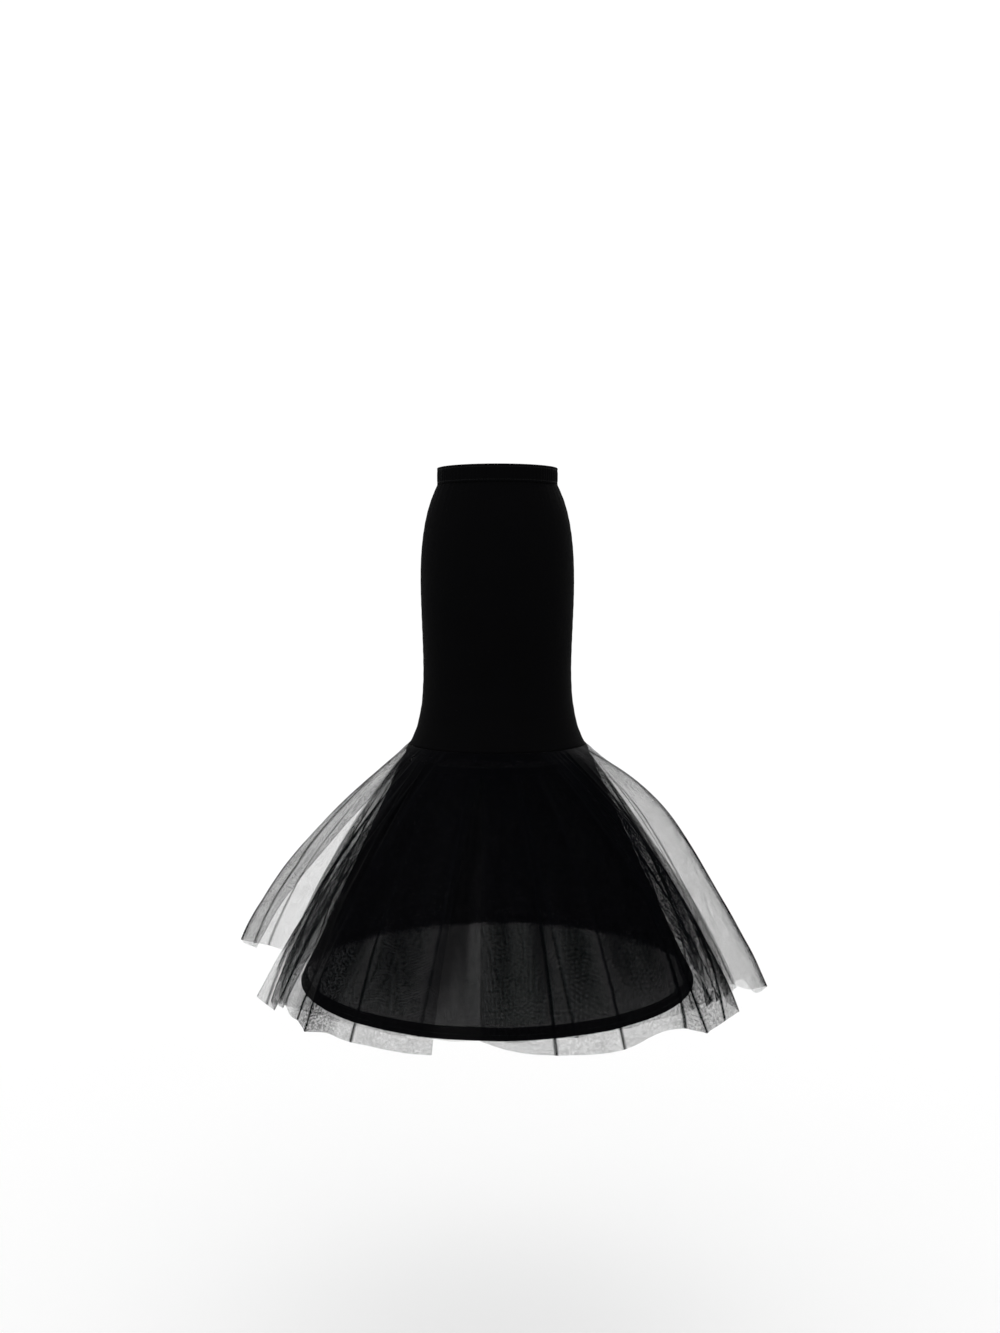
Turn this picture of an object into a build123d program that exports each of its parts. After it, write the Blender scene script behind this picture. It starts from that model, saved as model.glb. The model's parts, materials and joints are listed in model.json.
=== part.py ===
"""Fishtail hoop petticoat: a knitted tube from waist to knee, a six-gore flare held
open by one hoop in the hem, and two gathered layers of tulle sewn over the flare.

Millimetres. The origin is the centre of the waist opening, level with the top edge of
the waistband. +Z is up the wearer, -Y is the front and +X is to the right of someone
who looks at the front.
"""

import math
import os

from build123d import *

# Waistband: a folded strip of knit, sewn shut round a flat elastic.
WAIST_RADIUS = 110.0  # inside, with the elastic relaxed
BAND_HEIGHT = 32.0
BAND_CLOTH = 0.8
ELASTIC_THICKNESS = 1.2
ELASTIC_CLEARANCE = 0.3

# Knitted tube: drops below the waist edge and half sizes at each level.
KNIT = 1.0
HIGH_HIP_DROP = 95.0
HIGH_HIP_HALF_WIDTH = 136.0
HIGH_HIP_HALF_DEPTH = 124.0
HIP_DROP = 185.0
HIP_HALF_WIDTH = 146.0
HIP_HALF_DEPTH = 134.0
THIGH_DROP = 320.0
THIGH_HALF_WIDTH = 143.0
THIGH_HALF_DEPTH = 132.0
KNEE_DROP = 460.0
KNEE_HALF_WIDTH = 147.0
KNEE_HALF_DEPTH = 137.0
SEAT_SET_BACK = 9.0  # how far the hip section lies behind the waist
TUBE_LENGTH = 522.0  # waist edge to the knee seam
SEAM_HALF_WIDTH = 168.0
SEAM_HALF_DEPTH = 158.0

# Flare and hoop.
GORE_COUNT = 6
GORE_CLOTH = 0.8
FLARE_DROP = 430.0  # knee seam to the lower edge of the gores
HEM_RADIUS = 367.0  # of the gores' lower edge
CASING_HEIGHT = 22.0  # down the slope
CASING_CLOTH = 0.8
CASING_ROUND = 1.6
HOOP_HEIGHT = 7.0
HOOP_THICKNESS = 1.0
HOOP_END_GAP = 2.0
HOOP_REST = 0.3  # between the hoop and the bottom of its channel
FERRULE_LENGTH = 40.0
FERRULE_WALL = 0.5
FERRULE_FIT = 0.05
FERRULE_CLEARANCE = 0.3

# Tulle: each layer hangs from a heading tape sewn round the top of the flare.
TAPE_HEIGHT = 12.0
TAPE_THICKNESS = 1.4
SEWN_GAP = 0.3
LAYER_STEP = 24.0  # the under layer's tape starts this far below the top layer's
TULLE = 0.8
BULGE = 0.45  # how far it springs out at mid length, as a share of how far it reaches
SLIT_AT_TAPE = 0.25  # degrees, on each side of a slit
HEM_STEPS_PER_FLUTE = 6
DROP_STEPS = 6
SETTLING_STEPS = 8  # repeats that settle how far a layer reaches

# Under layer: it hangs over the hem casing and reaches the lowest. Slits are azimuths in
# degrees from the front, and clearances are outside the casing, to the flutes' valleys.
UNDER_SLITS = (-9.0, 78.0, 170.0, 262.0)
UNDER_SLIT_AT_HEM = 4.5  # degrees, on each side of a slit
UNDER_CLEAR_FRONT = 2.3
UNDER_CLEAR_SIDE = 50.5
UNDER_LENGTH = 505.2  # straight from tape to hem
UNDER_FLUTES = 24
UNDER_FLUTE_DEPTH = 5.0

# Top layer: it springs out at the sides and lies closer at the front and back. Its
# clearances are outside the under layer's flutes, at the higher of the two hems.
TOP_SLITS = (-57.0, 52.0, 143.0, 233.0)
TOP_SLIT_AT_HEM = 2.5
TOP_CLEAR_FRONT = 12.0
TOP_CLEAR_SIDE = 46.0
TOP_LENGTH = 508.0
TOP_FLUTES = 22
TOP_FLUTE_DEPTH = 9.0

os.makedirs("parts", exist_ok=True)


def write(part, name):
    """Labels a finished piece and writes it as one STEP file."""
    part.label = name
    export_step(part, f"parts/{name}.step")


# ---------------------------------------------------------------- waistband
BAND_THICKNESS = 2 * BAND_CLOTH + 2 * ELASTIC_CLEARANCE + ELASTIC_THICKNESS
BAND_OUTSIDE = WAIST_RADIUS + BAND_THICKNESS
ELASTIC_RADIUS = WAIST_RADIUS + BAND_THICKNESS / 2

with BuildPart() as waist_casing:
    with BuildSketch(Plane.XZ) as casing_section:
        with Locations((ELASTIC_RADIUS, -BAND_HEIGHT / 2)):
            Rectangle(BAND_THICKNESS, BAND_HEIGHT)
        outer_top_corner = casing_section.vertices().group_by(Axis.Y)[-1].sort_by(Axis.X)[-1]
        fillet(outer_top_corner, BAND_CLOTH)
        with Locations((ELASTIC_RADIUS, -BAND_HEIGHT / 2)):
            Rectangle(
                BAND_THICKNESS - 2 * BAND_CLOTH,
                BAND_HEIGHT - 2 * BAND_CLOTH,
                mode=Mode.SUBTRACT,
            )
    revolve(axis=Axis.Z)
write(waist_casing.part, "waist_casing")

ELASTIC_HEIGHT = BAND_HEIGHT - 2 * BAND_CLOTH - 2 * ELASTIC_CLEARANCE
with BuildPart() as waist_elastic:
    with BuildSketch(Plane.XZ):
        with Locations((ELASTIC_RADIUS, -BAND_HEIGHT / 2)):
            Rectangle(ELASTIC_THICKNESS, ELASTIC_HEIGHT)
    revolve(axis=Axis.Z)
write(waist_elastic.part, "waist_elastic")

# ---------------------------------------------------------------- knitted tube
# Each section is its drop, half width, half depth and set back.
TUBE_SECTIONS = (
    (BAND_HEIGHT, BAND_OUTSIDE - SEWN_GAP, BAND_OUTSIDE - SEWN_GAP, 0.0),
    (HIGH_HIP_DROP, HIGH_HIP_HALF_WIDTH, HIGH_HIP_HALF_DEPTH, 0.6 * SEAT_SET_BACK),
    (HIP_DROP, HIP_HALF_WIDTH, HIP_HALF_DEPTH, SEAT_SET_BACK),
    (THIGH_DROP, THIGH_HALF_WIDTH, THIGH_HALF_DEPTH, 0.5 * SEAT_SET_BACK),
    (KNEE_DROP, KNEE_HALF_WIDTH, KNEE_HALF_DEPTH, 0.0),
    (TUBE_LENGTH, SEAM_HALF_WIDTH, SEAM_HALF_DEPTH, 0.0),
)

with BuildPart() as tube:
    for inset, mode in ((0.0, Mode.ADD), (KNIT, Mode.SUBTRACT)):
        for drop, half_width, half_depth, set_back in TUBE_SECTIONS:
            with BuildSketch(Plane.XY.offset(-drop)):
                with Locations((0, set_back)):
                    Ellipse(half_width - inset, half_depth - inset)
        loft(mode=mode)

for name, side in (("body_front_panel", Keep.TOP), ("body_back_panel", Keep.BOTTOM)):
    with BuildPart() as panel:
        add(tube.part)
        split(bisect_by=Plane.XZ, keep=side)
    write(panel.part, name)

# ---------------------------------------------------------------- flare
FLARE_TOP = -TUBE_LENGTH
FLARE_BOTTOM = FLARE_TOP - FLARE_DROP
HEM_LEAN = math.atan2(HEM_RADIUS - SEAM_HALF_WIDTH, FLARE_DROP)

with BuildPart() as flare:
    for inset, mode in ((0.0, Mode.ADD), (GORE_CLOTH, Mode.SUBTRACT)):
        with BuildSketch(Plane.XY.offset(FLARE_TOP)):
            Ellipse(SEAM_HALF_WIDTH - inset, SEAM_HALF_DEPTH - inset)
        with BuildSketch(Plane.XY.offset(FLARE_BOTTOM)):
            Ellipse(HEM_RADIUS - inset, HEM_RADIUS - inset)
        loft(ruled=True, mode=mode)


def upright_plane(azimuth):
    """The upright plane through the axis at this azimuth from the front, in degrees.

    Its normal points to larger azimuths.
    """
    turn = math.radians(azimuth)
    return Plane(origin=(0, 0, 0), z_dir=(math.cos(turn), math.sin(turn), 0))


GORE_NAMES = (
    "flare_gore_front",
    "flare_gore_front_right",
    "flare_gore_back_right",
    "flare_gore_back",
    "flare_gore_back_left",
    "flare_gore_front_left",
)
GORE_ANGLE = 360 / GORE_COUNT
for number in range(GORE_COUNT):
    middle = number * GORE_ANGLE
    with BuildPart() as gore:
        add(flare.part)
        split(bisect_by=upright_plane(middle - GORE_ANGLE / 2), keep=Keep.TOP)
        split(bisect_by=upright_plane(middle + GORE_ANGLE / 2), keep=Keep.BOTTOM)
    write(gore.part, GORE_NAMES[number])

# ---------------------------------------------------------------- hem casing and hoop
FERRULE_THICKNESS = HOOP_THICKNESS + 2 * FERRULE_FIT + 2 * FERRULE_WALL
CHANNEL_WIDTH = FERRULE_THICKNESS + 2 * FERRULE_CLEARANCE
CASING_THICKNESS = CHANNEL_WIDTH + 2 * CASING_CLOTH

# The casing's section leans with the flare, sewn under the gores' lower edge. Its local
# x is outwards and its local y is up the slope, from the middle of the casing.
CASING_STEP = SEWN_GAP + CASING_HEIGHT / 2  # gores' lower edge to the casing's middle
HOOP_RADIUS = HEM_RADIUS - GORE_CLOTH / 2 + CASING_STEP * math.sin(HEM_LEAN)
hem_slope = Plane(
    origin=(HOOP_RADIUS, 0, FLARE_BOTTOM - CASING_STEP * math.cos(HEM_LEAN)),
    x_dir=(math.cos(HEM_LEAN), 0, math.sin(HEM_LEAN)),
    z_dir=(0, -1, 0),
)

with BuildPart() as hoop_casing:
    with BuildSketch(hem_slope) as channel_section:
        Rectangle(CASING_THICKNESS, CASING_HEIGHT)
        fillet(channel_section.vertices(), CASING_ROUND)
        Rectangle(
            CHANNEL_WIDTH,
            CASING_HEIGHT - 2 * CASING_CLOTH,
            mode=Mode.SUBTRACT,
        )
    revolve(axis=Axis.Z)
write(hoop_casing.part, "hoop_casing")

HOOP_OFFSET = -CASING_HEIGHT / 2 + CASING_CLOTH + HOOP_REST + FERRULE_WALL + HOOP_HEIGHT / 2
HOOP_TURN = 360 - math.degrees(HOOP_END_GAP / HOOP_RADIUS)
BACK_CENTRE = 90.0  # from +X, where the section starts, to the back
with BuildPart() as hoop_steel:
    with BuildSketch(hem_slope):
        with Locations((0, HOOP_OFFSET)):
            Rectangle(HOOP_THICKNESS, HOOP_HEIGHT)
    revolve(axis=Axis.Z, revolution_arc=HOOP_TURN)
hoop_steel.part = hoop_steel.part.rotate(Axis.Z, BACK_CENTRE + (360 - HOOP_TURN) / 2)
write(hoop_steel.part, "hoop_steel")

FERRULE_TURN = math.degrees(FERRULE_LENGTH / HOOP_RADIUS)
with BuildPart() as hoop_ferrule:
    with BuildSketch(hem_slope):
        with Locations((0, HOOP_OFFSET)):
            Rectangle(FERRULE_THICKNESS, HOOP_HEIGHT + 2 * FERRULE_FIT + 2 * FERRULE_WALL)
            Rectangle(
                HOOP_THICKNESS + 2 * FERRULE_FIT,
                HOOP_HEIGHT + 2 * FERRULE_FIT,
                mode=Mode.SUBTRACT,
            )
    revolve(axis=Axis.Z, revolution_arc=FERRULE_TURN)
hoop_ferrule.part = hoop_ferrule.part.rotate(Axis.Z, BACK_CENTRE - FERRULE_TURN / 2)
write(hoop_ferrule.part, "hoop_ferrule")

# ---------------------------------------------------------------- heading tapes
FLARE_LEAN_WIDTH = (HEM_RADIUS - SEAM_HALF_WIDTH) / FLARE_DROP
FLARE_LEAN_DEPTH = (HEM_RADIUS - SEAM_HALF_DEPTH) / FLARE_DROP


def flare_half_sizes(drop, out):
    """The flare's half width and half depth at a drop below the knee seam, moved out."""
    return (
        SEAM_HALF_WIDTH + FLARE_LEAN_WIDTH * drop + out,
        SEAM_HALF_DEPTH + FLARE_LEAN_DEPTH * drop + out,
    )


def heading_tape(drop):
    """A tape round the flare whose top edge is at this drop below the knee seam."""
    with BuildPart() as tape:
        for out, mode in ((SEWN_GAP + TAPE_THICKNESS, Mode.ADD), (SEWN_GAP, Mode.SUBTRACT)):
            for level in (drop, drop + TAPE_HEIGHT):
                with BuildSketch(Plane.XY.offset(FLARE_TOP - level)):
                    Ellipse(*flare_half_sizes(level, out))
            loft(ruled=True, mode=mode)
    return tape.part


write(heading_tape(0.0), "heading_tape_top")
write(heading_tape(LAYER_STEP), "heading_tape_under")

# ---------------------------------------------------------------- tulle
TULLE_START = SEWN_GAP + TAPE_THICKNESS + SEWN_GAP  # clear of the flare, on the tape
CASING_CORNER = math.hypot(CASING_THICKNESS, CASING_HEIGHT) / 2
corner_angle = HEM_LEAN + math.atan2(CASING_THICKNESS, CASING_HEIGHT)
CASING_OUTSIDE = HOOP_RADIUS + CASING_CORNER * math.sin(corner_angle)
CASING_BOTTOM = hem_slope.origin.Z - CASING_CORNER * math.cos(corner_angle)


def swell(share):
    """How far out the cloth is at a share of its fall: it springs out, then hangs."""
    return share + BULGE * share * (1 - share)


class Layer:
    """One gathered layer of tulle, which hangs clear of the layer or casing inside it."""

    def __init__(self, drop, slits, slit_at_hem, clear_front, clear_side, length, flutes, depth):
        self.drop = drop
        self.slits = slits
        self.slit_at_hem = slit_at_hem
        self.clear_front = clear_front
        self.clear_side = clear_side
        self.length = length
        self.flutes = flutes
        self.depth = depth
        self.inside = None

    def start(self, azimuth):
        """The radius at the tape, at an azimuth in degrees."""
        turn = math.radians(azimuth)
        half_width, half_depth = flare_half_sizes(self.drop, TULLE_START)
        return math.hypot(half_width * math.sin(turn), half_depth * math.cos(turn))

    def fall(self, azimuth, reach):
        """The drop from tape to hem when the hem's middle radius is reach."""
        return math.sqrt(self.length**2 - (reach - self.start(azimuth)) ** 2)

    def reach(self, azimuth):
        """The hem's middle radius: the cloth passes just outside what it hangs over."""
        if self.inside:
            edge = self.inside.reach(azimuth)
            drop = FLARE_TOP - self.drop - self.inside.hem(azimuth, edge)
            edge += self.inside.depth
        else:
            edge = CASING_OUTSIDE
            drop = FLARE_TOP - self.drop - CASING_BOTTOM
        sideways = math.sin(math.radians(azimuth)) ** 2
        edge += self.clear_front + (self.clear_side - self.clear_front) * sideways + self.depth
        start = self.start(azimuth)
        reach = edge
        for _ in range(SETTLING_STEPS):
            share = min(1, drop / self.fall(azimuth, reach))
            reach = start + (edge - start) / swell(share)
        return reach

    def hem(self, azimuth, reach):
        """The height of the hem."""
        return FLARE_TOP - self.drop - self.fall(azimuth, reach)

    def point(self, azimuth, share):
        """The point at an azimuth and a share of the fall, with flutes that deepen."""
        turn = math.radians(azimuth)
        start = self.start(azimuth)
        reach = self.reach(azimuth)
        flute = self.depth * share * math.cos(self.flutes * turn)
        radius = start + (reach - start) * swell(share) + flute
        height = FLARE_TOP - self.drop - self.fall(azimuth, reach) * share
        return Vector(radius * math.sin(turn), -radius * math.cos(turn), height)

    def panel(self, number):
        """The sheet between a slit and the next, thickened outwards."""
        first = self.slits[number]
        last = (self.slits + (self.slits[0] + 360,))[number + 1]
        across = round((last - first) / 360 * self.flutes * HEM_STEPS_PER_FLUTE)
        rows = []
        for down in range(DROP_STEPS + 1):
            share = down / DROP_STEPS
            slit = SLIT_AT_TAPE + (self.slit_at_hem - SLIT_AT_TAPE) * share
            turns = [
                first + slit + (last - first - 2 * slit) * step / across
                for step in range(across + 1)
            ]
            rows.append([self.point(turn, share) for turn in turns])
        sheet = Face.make_surface_from_array_of_points(rows, min_deg=3, max_deg=3)
        return Solid.thicken(sheet, TULLE)


under_layer = Layer(
    LAYER_STEP,
    UNDER_SLITS,
    UNDER_SLIT_AT_HEM,
    UNDER_CLEAR_FRONT,
    UNDER_CLEAR_SIDE,
    UNDER_LENGTH,
    UNDER_FLUTES,
    UNDER_FLUTE_DEPTH,
)
top_layer = Layer(
    0.0,
    TOP_SLITS,
    TOP_SLIT_AT_HEM,
    TOP_CLEAR_FRONT,
    TOP_CLEAR_SIDE,
    TOP_LENGTH,
    TOP_FLUTES,
    TOP_FLUTE_DEPTH,
)
top_layer.inside = under_layer
for layer_name, layer in (("under", under_layer), ("top", top_layer)):
    for number, side in enumerate(("front", "right", "back", "left")):
        with BuildPart() as tulle:
            add(layer.panel(number))
        write(tulle.part, f"tulle_{layer_name}_{side}")
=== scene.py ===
"""Looks of a fishtail hoop petticoat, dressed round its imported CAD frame.

A knitted tube runs from waist to knee. Below it six gores of thin lining flare out to
one hoop, and two layers of gathered tulle spring out over the flare. Every length is in
metres, in the row's frame: the origin is the centre of the waist opening, +Z is up and
-Y is the front. An azimuth is in degrees from the front, positive towards +X.
"""

import json
import logging
import math
from dataclasses import dataclass, field
from enum import Enum
from typing import Optional, Sequence, Union

import bpy
import numpy as np
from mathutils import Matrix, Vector
from mathutils.bvhtree import BVHTree

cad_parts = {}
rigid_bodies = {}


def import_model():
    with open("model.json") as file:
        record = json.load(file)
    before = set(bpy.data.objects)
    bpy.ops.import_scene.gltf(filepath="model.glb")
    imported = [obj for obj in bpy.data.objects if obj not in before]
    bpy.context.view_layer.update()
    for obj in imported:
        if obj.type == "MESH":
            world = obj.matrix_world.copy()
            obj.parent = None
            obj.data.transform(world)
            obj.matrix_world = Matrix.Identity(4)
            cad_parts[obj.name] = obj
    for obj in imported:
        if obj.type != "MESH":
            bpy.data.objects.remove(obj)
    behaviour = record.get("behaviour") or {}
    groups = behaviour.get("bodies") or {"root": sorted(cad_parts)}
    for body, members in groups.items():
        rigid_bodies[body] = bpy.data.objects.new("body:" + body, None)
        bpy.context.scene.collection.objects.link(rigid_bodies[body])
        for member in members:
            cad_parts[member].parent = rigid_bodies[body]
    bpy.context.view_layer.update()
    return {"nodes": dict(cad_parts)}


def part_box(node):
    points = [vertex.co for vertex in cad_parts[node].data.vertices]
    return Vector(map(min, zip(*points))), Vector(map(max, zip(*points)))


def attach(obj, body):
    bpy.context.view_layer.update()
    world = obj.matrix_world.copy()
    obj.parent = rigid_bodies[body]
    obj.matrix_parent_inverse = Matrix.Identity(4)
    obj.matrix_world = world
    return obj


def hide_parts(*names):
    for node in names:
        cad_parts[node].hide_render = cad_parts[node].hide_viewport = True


log = logging.getLogger("petticoat")

MM = 0.001
BODY = "root"
CLOTH_MAP = "cloth"  # the map that holds each point's place on the flat cloth, in metres

Number = Union[float, "Value"]
Colour = tuple[float, float, float]


# ------------------------------------------------------------------ shader maths


class Value:
    """A number that varies over a surface. Operators on it add Math nodes."""

    def __init__(self, shader: "Shader", socket: bpy.types.NodeSocket) -> None:
        """Wraps an output socket of a shader's tree."""
        self.shader = shader
        self.socket = socket

    def _math(self, operation: str, *values: Number) -> "Value":
        """Adds one Math node.

        Args:
            operation: the node's operation, such as "ADD".
            values: what goes into its sockets, in order.

        Returns:
            The node's result.
        """
        node = self.shader.node("ShaderNodeMath", {"operation": operation}, dict(enumerate(values)))
        return Value(self.shader, node.outputs[0])

    def __add__(self, other: Number) -> "Value":
        """self + other"""
        return self._math("ADD", self, other)

    __radd__ = __add__

    def __sub__(self, other: Number) -> "Value":
        """self - other"""
        return self._math("SUBTRACT", self, other)

    def __rsub__(self, other: Number) -> "Value":
        """other - self"""
        return self._math("SUBTRACT", other, self)

    def __mul__(self, other: Number) -> "Value":
        """self * other"""
        return self._math("MULTIPLY", self, other)

    __rmul__ = __mul__

    def __truediv__(self, other: Number) -> "Value":
        """self / other"""
        return self._math("DIVIDE", self, other)

    def __abs__(self) -> "Value":
        """The size of self, without its sign."""
        return self._math("ABSOLUTE", self)

    def __gt__(self, other: Number) -> "Value":
        """1 where self is more than other, else 0."""
        return self._math("GREATER_THAN", self, other)

    def smaller(self, other: Number) -> "Value":
        """The smaller of self and other."""
        return self._math("MINIMUM", self, other)

    def larger(self, other: Number) -> "Value":
        """The larger of self and other."""
        return self._math("MAXIMUM", self, other)

    def fraction(self) -> "Value":
        """What is left of self after its whole part."""
        return self._math("FRACT", self)

    def wave(self) -> "Value":
        """The sine of self, once per whole step."""
        return self._math("SINE", self * (2 * math.pi))

    def within(self, ends: tuple[float, float]) -> "Value":
        """Runs from the first end, where self is 0, to the second, where it is 1."""
        return self * (ends[1] - ends[0]) + ends[0]

    def mixed(self, other: "Value", share: float) -> "Value":
        """A mix with another value, of which share is self."""
        return self * share + other * (1 - share)


class Shader:
    """The node tree of one material, with a Principled surface."""

    def __init__(self, name: str) -> None:
        """Makes the material with its output and its surface.

        Args:
            name: the material's name.
        """
        self.material = bpy.data.materials.new(name)
        self.material.use_nodes = True
        self.tree = self.material.node_tree
        self.tree.nodes.clear()
        self.surface = self.node("ShaderNodeBsdfPrincipled")
        self.node("ShaderNodeOutputMaterial", inputs={"Surface": self.surface.outputs[0]})

    def node(
        self,
        kind: str,
        settings: Optional[dict[str, object]] = None,
        inputs: Optional[dict[Union[str, int], object]] = None,
    ) -> bpy.types.Node:
        """Adds a node.

        Args:
            kind: the node's type.
            settings: its properties, which are set first. "stops" holds a ramp's places
                and colours.
            inputs: what goes into its sockets: a number, a colour, a Value or a link.

        Returns:
            The new node.
        """
        made = self.tree.nodes.new(kind)
        for name, setting in (settings or {}).items():
            if name == "stops":
                self._stops(made, setting)
            else:
                setattr(made, name, setting)
        for name, given in (inputs or {}).items():
            self._feed(made.inputs[name], given)
        return made

    def _stops(self, ramp: bpy.types.Node, stops: Sequence[tuple[float, Colour]]) -> None:
        """Sets a ramp's places and colours.

        Args:
            ramp: the ramp's node.
            stops: each stop's place, from 0 to 1, and its colour.
        """
        elements = ramp.color_ramp.elements
        while len(elements) < len(stops):
            elements.new(1.0)
        for element, (place, colour) in zip(elements, stops):
            element.position = place
            element.color = (*colour, 1.0)

    def _feed(self, socket: bpy.types.NodeSocket, given: object) -> None:
        """Links or sets one input socket.

        Args:
            socket: the input.
            given: a Value or an output to link, or a number or a colour to set.
        """
        if isinstance(given, Value):
            given = given.socket
        if isinstance(given, bpy.types.NodeSocket):
            self.tree.links.new(given, socket)
        else:
            socket.default_value = given

    def value(
        self,
        kind: str,
        output: Union[str, int],
        settings: Optional[dict[str, object]] = None,
        inputs: Optional[dict[Union[str, int], object]] = None,
    ) -> Value:
        """Adds a node, and returns the named output as a Value."""
        return Value(self, self.node(kind, settings, inputs).outputs[output])

    def place(self) -> tuple[Value, Value]:
        """Reads where a point is on the flat cloth.

        Returns:
            How far across and how far down it is, in metres.
        """
        cloth = self.node("ShaderNodeUVMap", {"uv_map": CLOTH_MAP}).outputs[0]
        apart = self.node("ShaderNodeSeparateXYZ", inputs={0: cloth})
        return Value(self, apart.outputs[0]), Value(self, apart.outputs[1])

    def mark(self, name: str) -> Value:
        """A number that the mesh carries at each point."""
        return self.value("ShaderNodeAttribute", "Fac", {"attribute_name": name})

    def noise(self, size: float, detail: float = 2.0, flat: bool = False) -> Value:
        """Soft random variation, from 0 to 1.

        Args:
            size: the width of one blotch, in metres.
            detail: how many finer layers it has.
            flat: True to lay it on the flat cloth, and False to lay it in space.

        Returns:
            The noise.
        """
        if flat:
            where = self.node("ShaderNodeUVMap", {"uv_map": CLOTH_MAP}).outputs[0]
        else:
            where = self.node("ShaderNodeTexCoord").outputs["Object"]
        inputs = {"Vector": where, "Scale": 1 / size, "Detail": detail}
        return self.value("ShaderNodeTexNoise", 0, inputs=inputs)

    def blend(self, share: Value, low: Colour, high: Colour) -> bpy.types.NodeSocket:
        """A colour between low, where share is 0, and high, where it is 1."""
        stops = [(0.0, low), (1.0, high)]
        return self.node("ShaderNodeValToRGB", {"stops": stops}, {0: share}).outputs[0]

    def bump(self, height: Value, depth: float) -> bpy.types.NodeSocket:
        """A normal that follows a height from 0 to 1, where 1 stands for depth metres."""
        inputs = {"Height": height, "Distance": depth}
        return self.node("ShaderNodeBump", inputs=inputs).outputs[0]

    def finish(self, **inputs: object) -> bpy.types.Material:
        """Sets the surface's sockets.

        Args:
            inputs: what each socket gets, under its name with _ for a space.

        Returns:
            The finished material.
        """
        for name, given in inputs.items():
            self._feed(self.surface.inputs[name.replace("_", " ")], given)
        return self.material


# ------------------------------------------------------------------ finishes


@dataclass(frozen=True)
class JerseyKnit:
    """Fine black stretch jersey: columns of V-shaped loops, with a faint lustre.

    wale is from one column of loops to the next, and course from one row to the next.
    """

    name: str = "black_jersey"
    wale: float = 0.9 * MM
    course: float = 0.7 * MM
    relief: float = 0.12 * MM
    wear_size: float = 50 * MM
    rough: tuple[float, float] = (0.72, 0.87)
    gloss: float = 0.014
    dark: Colour = (0.0003, 0.0003, 0.0004)
    light: Colour = (0.0013, 0.0013, 0.0015)

    def material(self) -> bpy.types.Material:
        """Builds the finish.

        Returns:
            The material, with its nodes.
        """
        shader = Shader(self.name)
        across, down = shader.place()
        column = abs((across / self.wale).fraction() - 0.5) * 2
        loops = (down / self.course + column * 0.5).wave() * 0.5 + 0.5
        ribs = 1 - column * column
        height = loops.mixed(ribs, 0.45)
        wear = shader.noise(self.wear_size, 4.0)
        return shader.finish(
            Base_Color=shader.blend(height.mixed(wear, 0.45), self.dark, self.light),
            Roughness=wear.within(self.rough),
            Specular_IOR_Level=self.gloss,
            Normal=shader.bump(height, self.relief),
        )


class Lay(Enum):
    """How a plain-woven cloth is used, with the share of light that each face stops."""

    SINGLE = 0.80
    DOUBLED = 1.0


@dataclass(frozen=True)
class PlainWeave:
    """Thin black lining in plain weave, with slubs and a slight shine.

    In the hollows of its folds its colour is darkened into painted shade, by fold_painted_shade,
    and it is denser, by fold_dense.
    """

    name: str = "black_lining"
    thread: float = 0.55 * MM
    relief: float = 0.07 * MM
    slub_size: float = 4 * MM
    crumple_size: float = 70 * MM
    # share of the colour taken away as painted shade in the fold hollows
    fold_painted_shade: float = 0.8
    fold_dense: float = 0.5
    rough: tuple[float, float] = (0.5, 0.7)
    gloss: float = 0.016
    lay: Lay = Lay.SINGLE
    dark: Colour = (0.0003, 0.0003, 0.0003)
    light: Colour = (0.0058, 0.0057, 0.0060)

    def material(self) -> bpy.types.Material:
        """Builds the finish.

        Returns:
            The material, with its nodes.
        """
        shader = Shader(self.name)
        across, down = shader.place()
        warp = (across / self.thread).wave() * (down / self.thread * 0.5).wave()
        slubs = shader.noise(self.slub_size, 3.0, flat=True)
        crumple = shader.noise(self.crumple_size, 4.0)
        height = warp * 0.5 + 0.5
        tone = height.mixed(slubs, 0.4).mixed(crumple, 0.5)
        fold = shader.mark("fold")
        sheer = 1 - self.lay.value
        return shader.finish(
            # painted shade: the colour darkens where the fold mark says a hollow is deep
            Base_Color=shader.blend(tone * (1 - fold * self.fold_painted_shade), self.dark, self.light),
            Roughness=slubs.within(self.rough),
            Specular_IOR_Level=self.gloss,
            Alpha=1 - (1 - fold * self.fold_dense) * sheer,
            Normal=shader.bump(height.mixed(slubs, 0.6), self.relief),
        )


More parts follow.
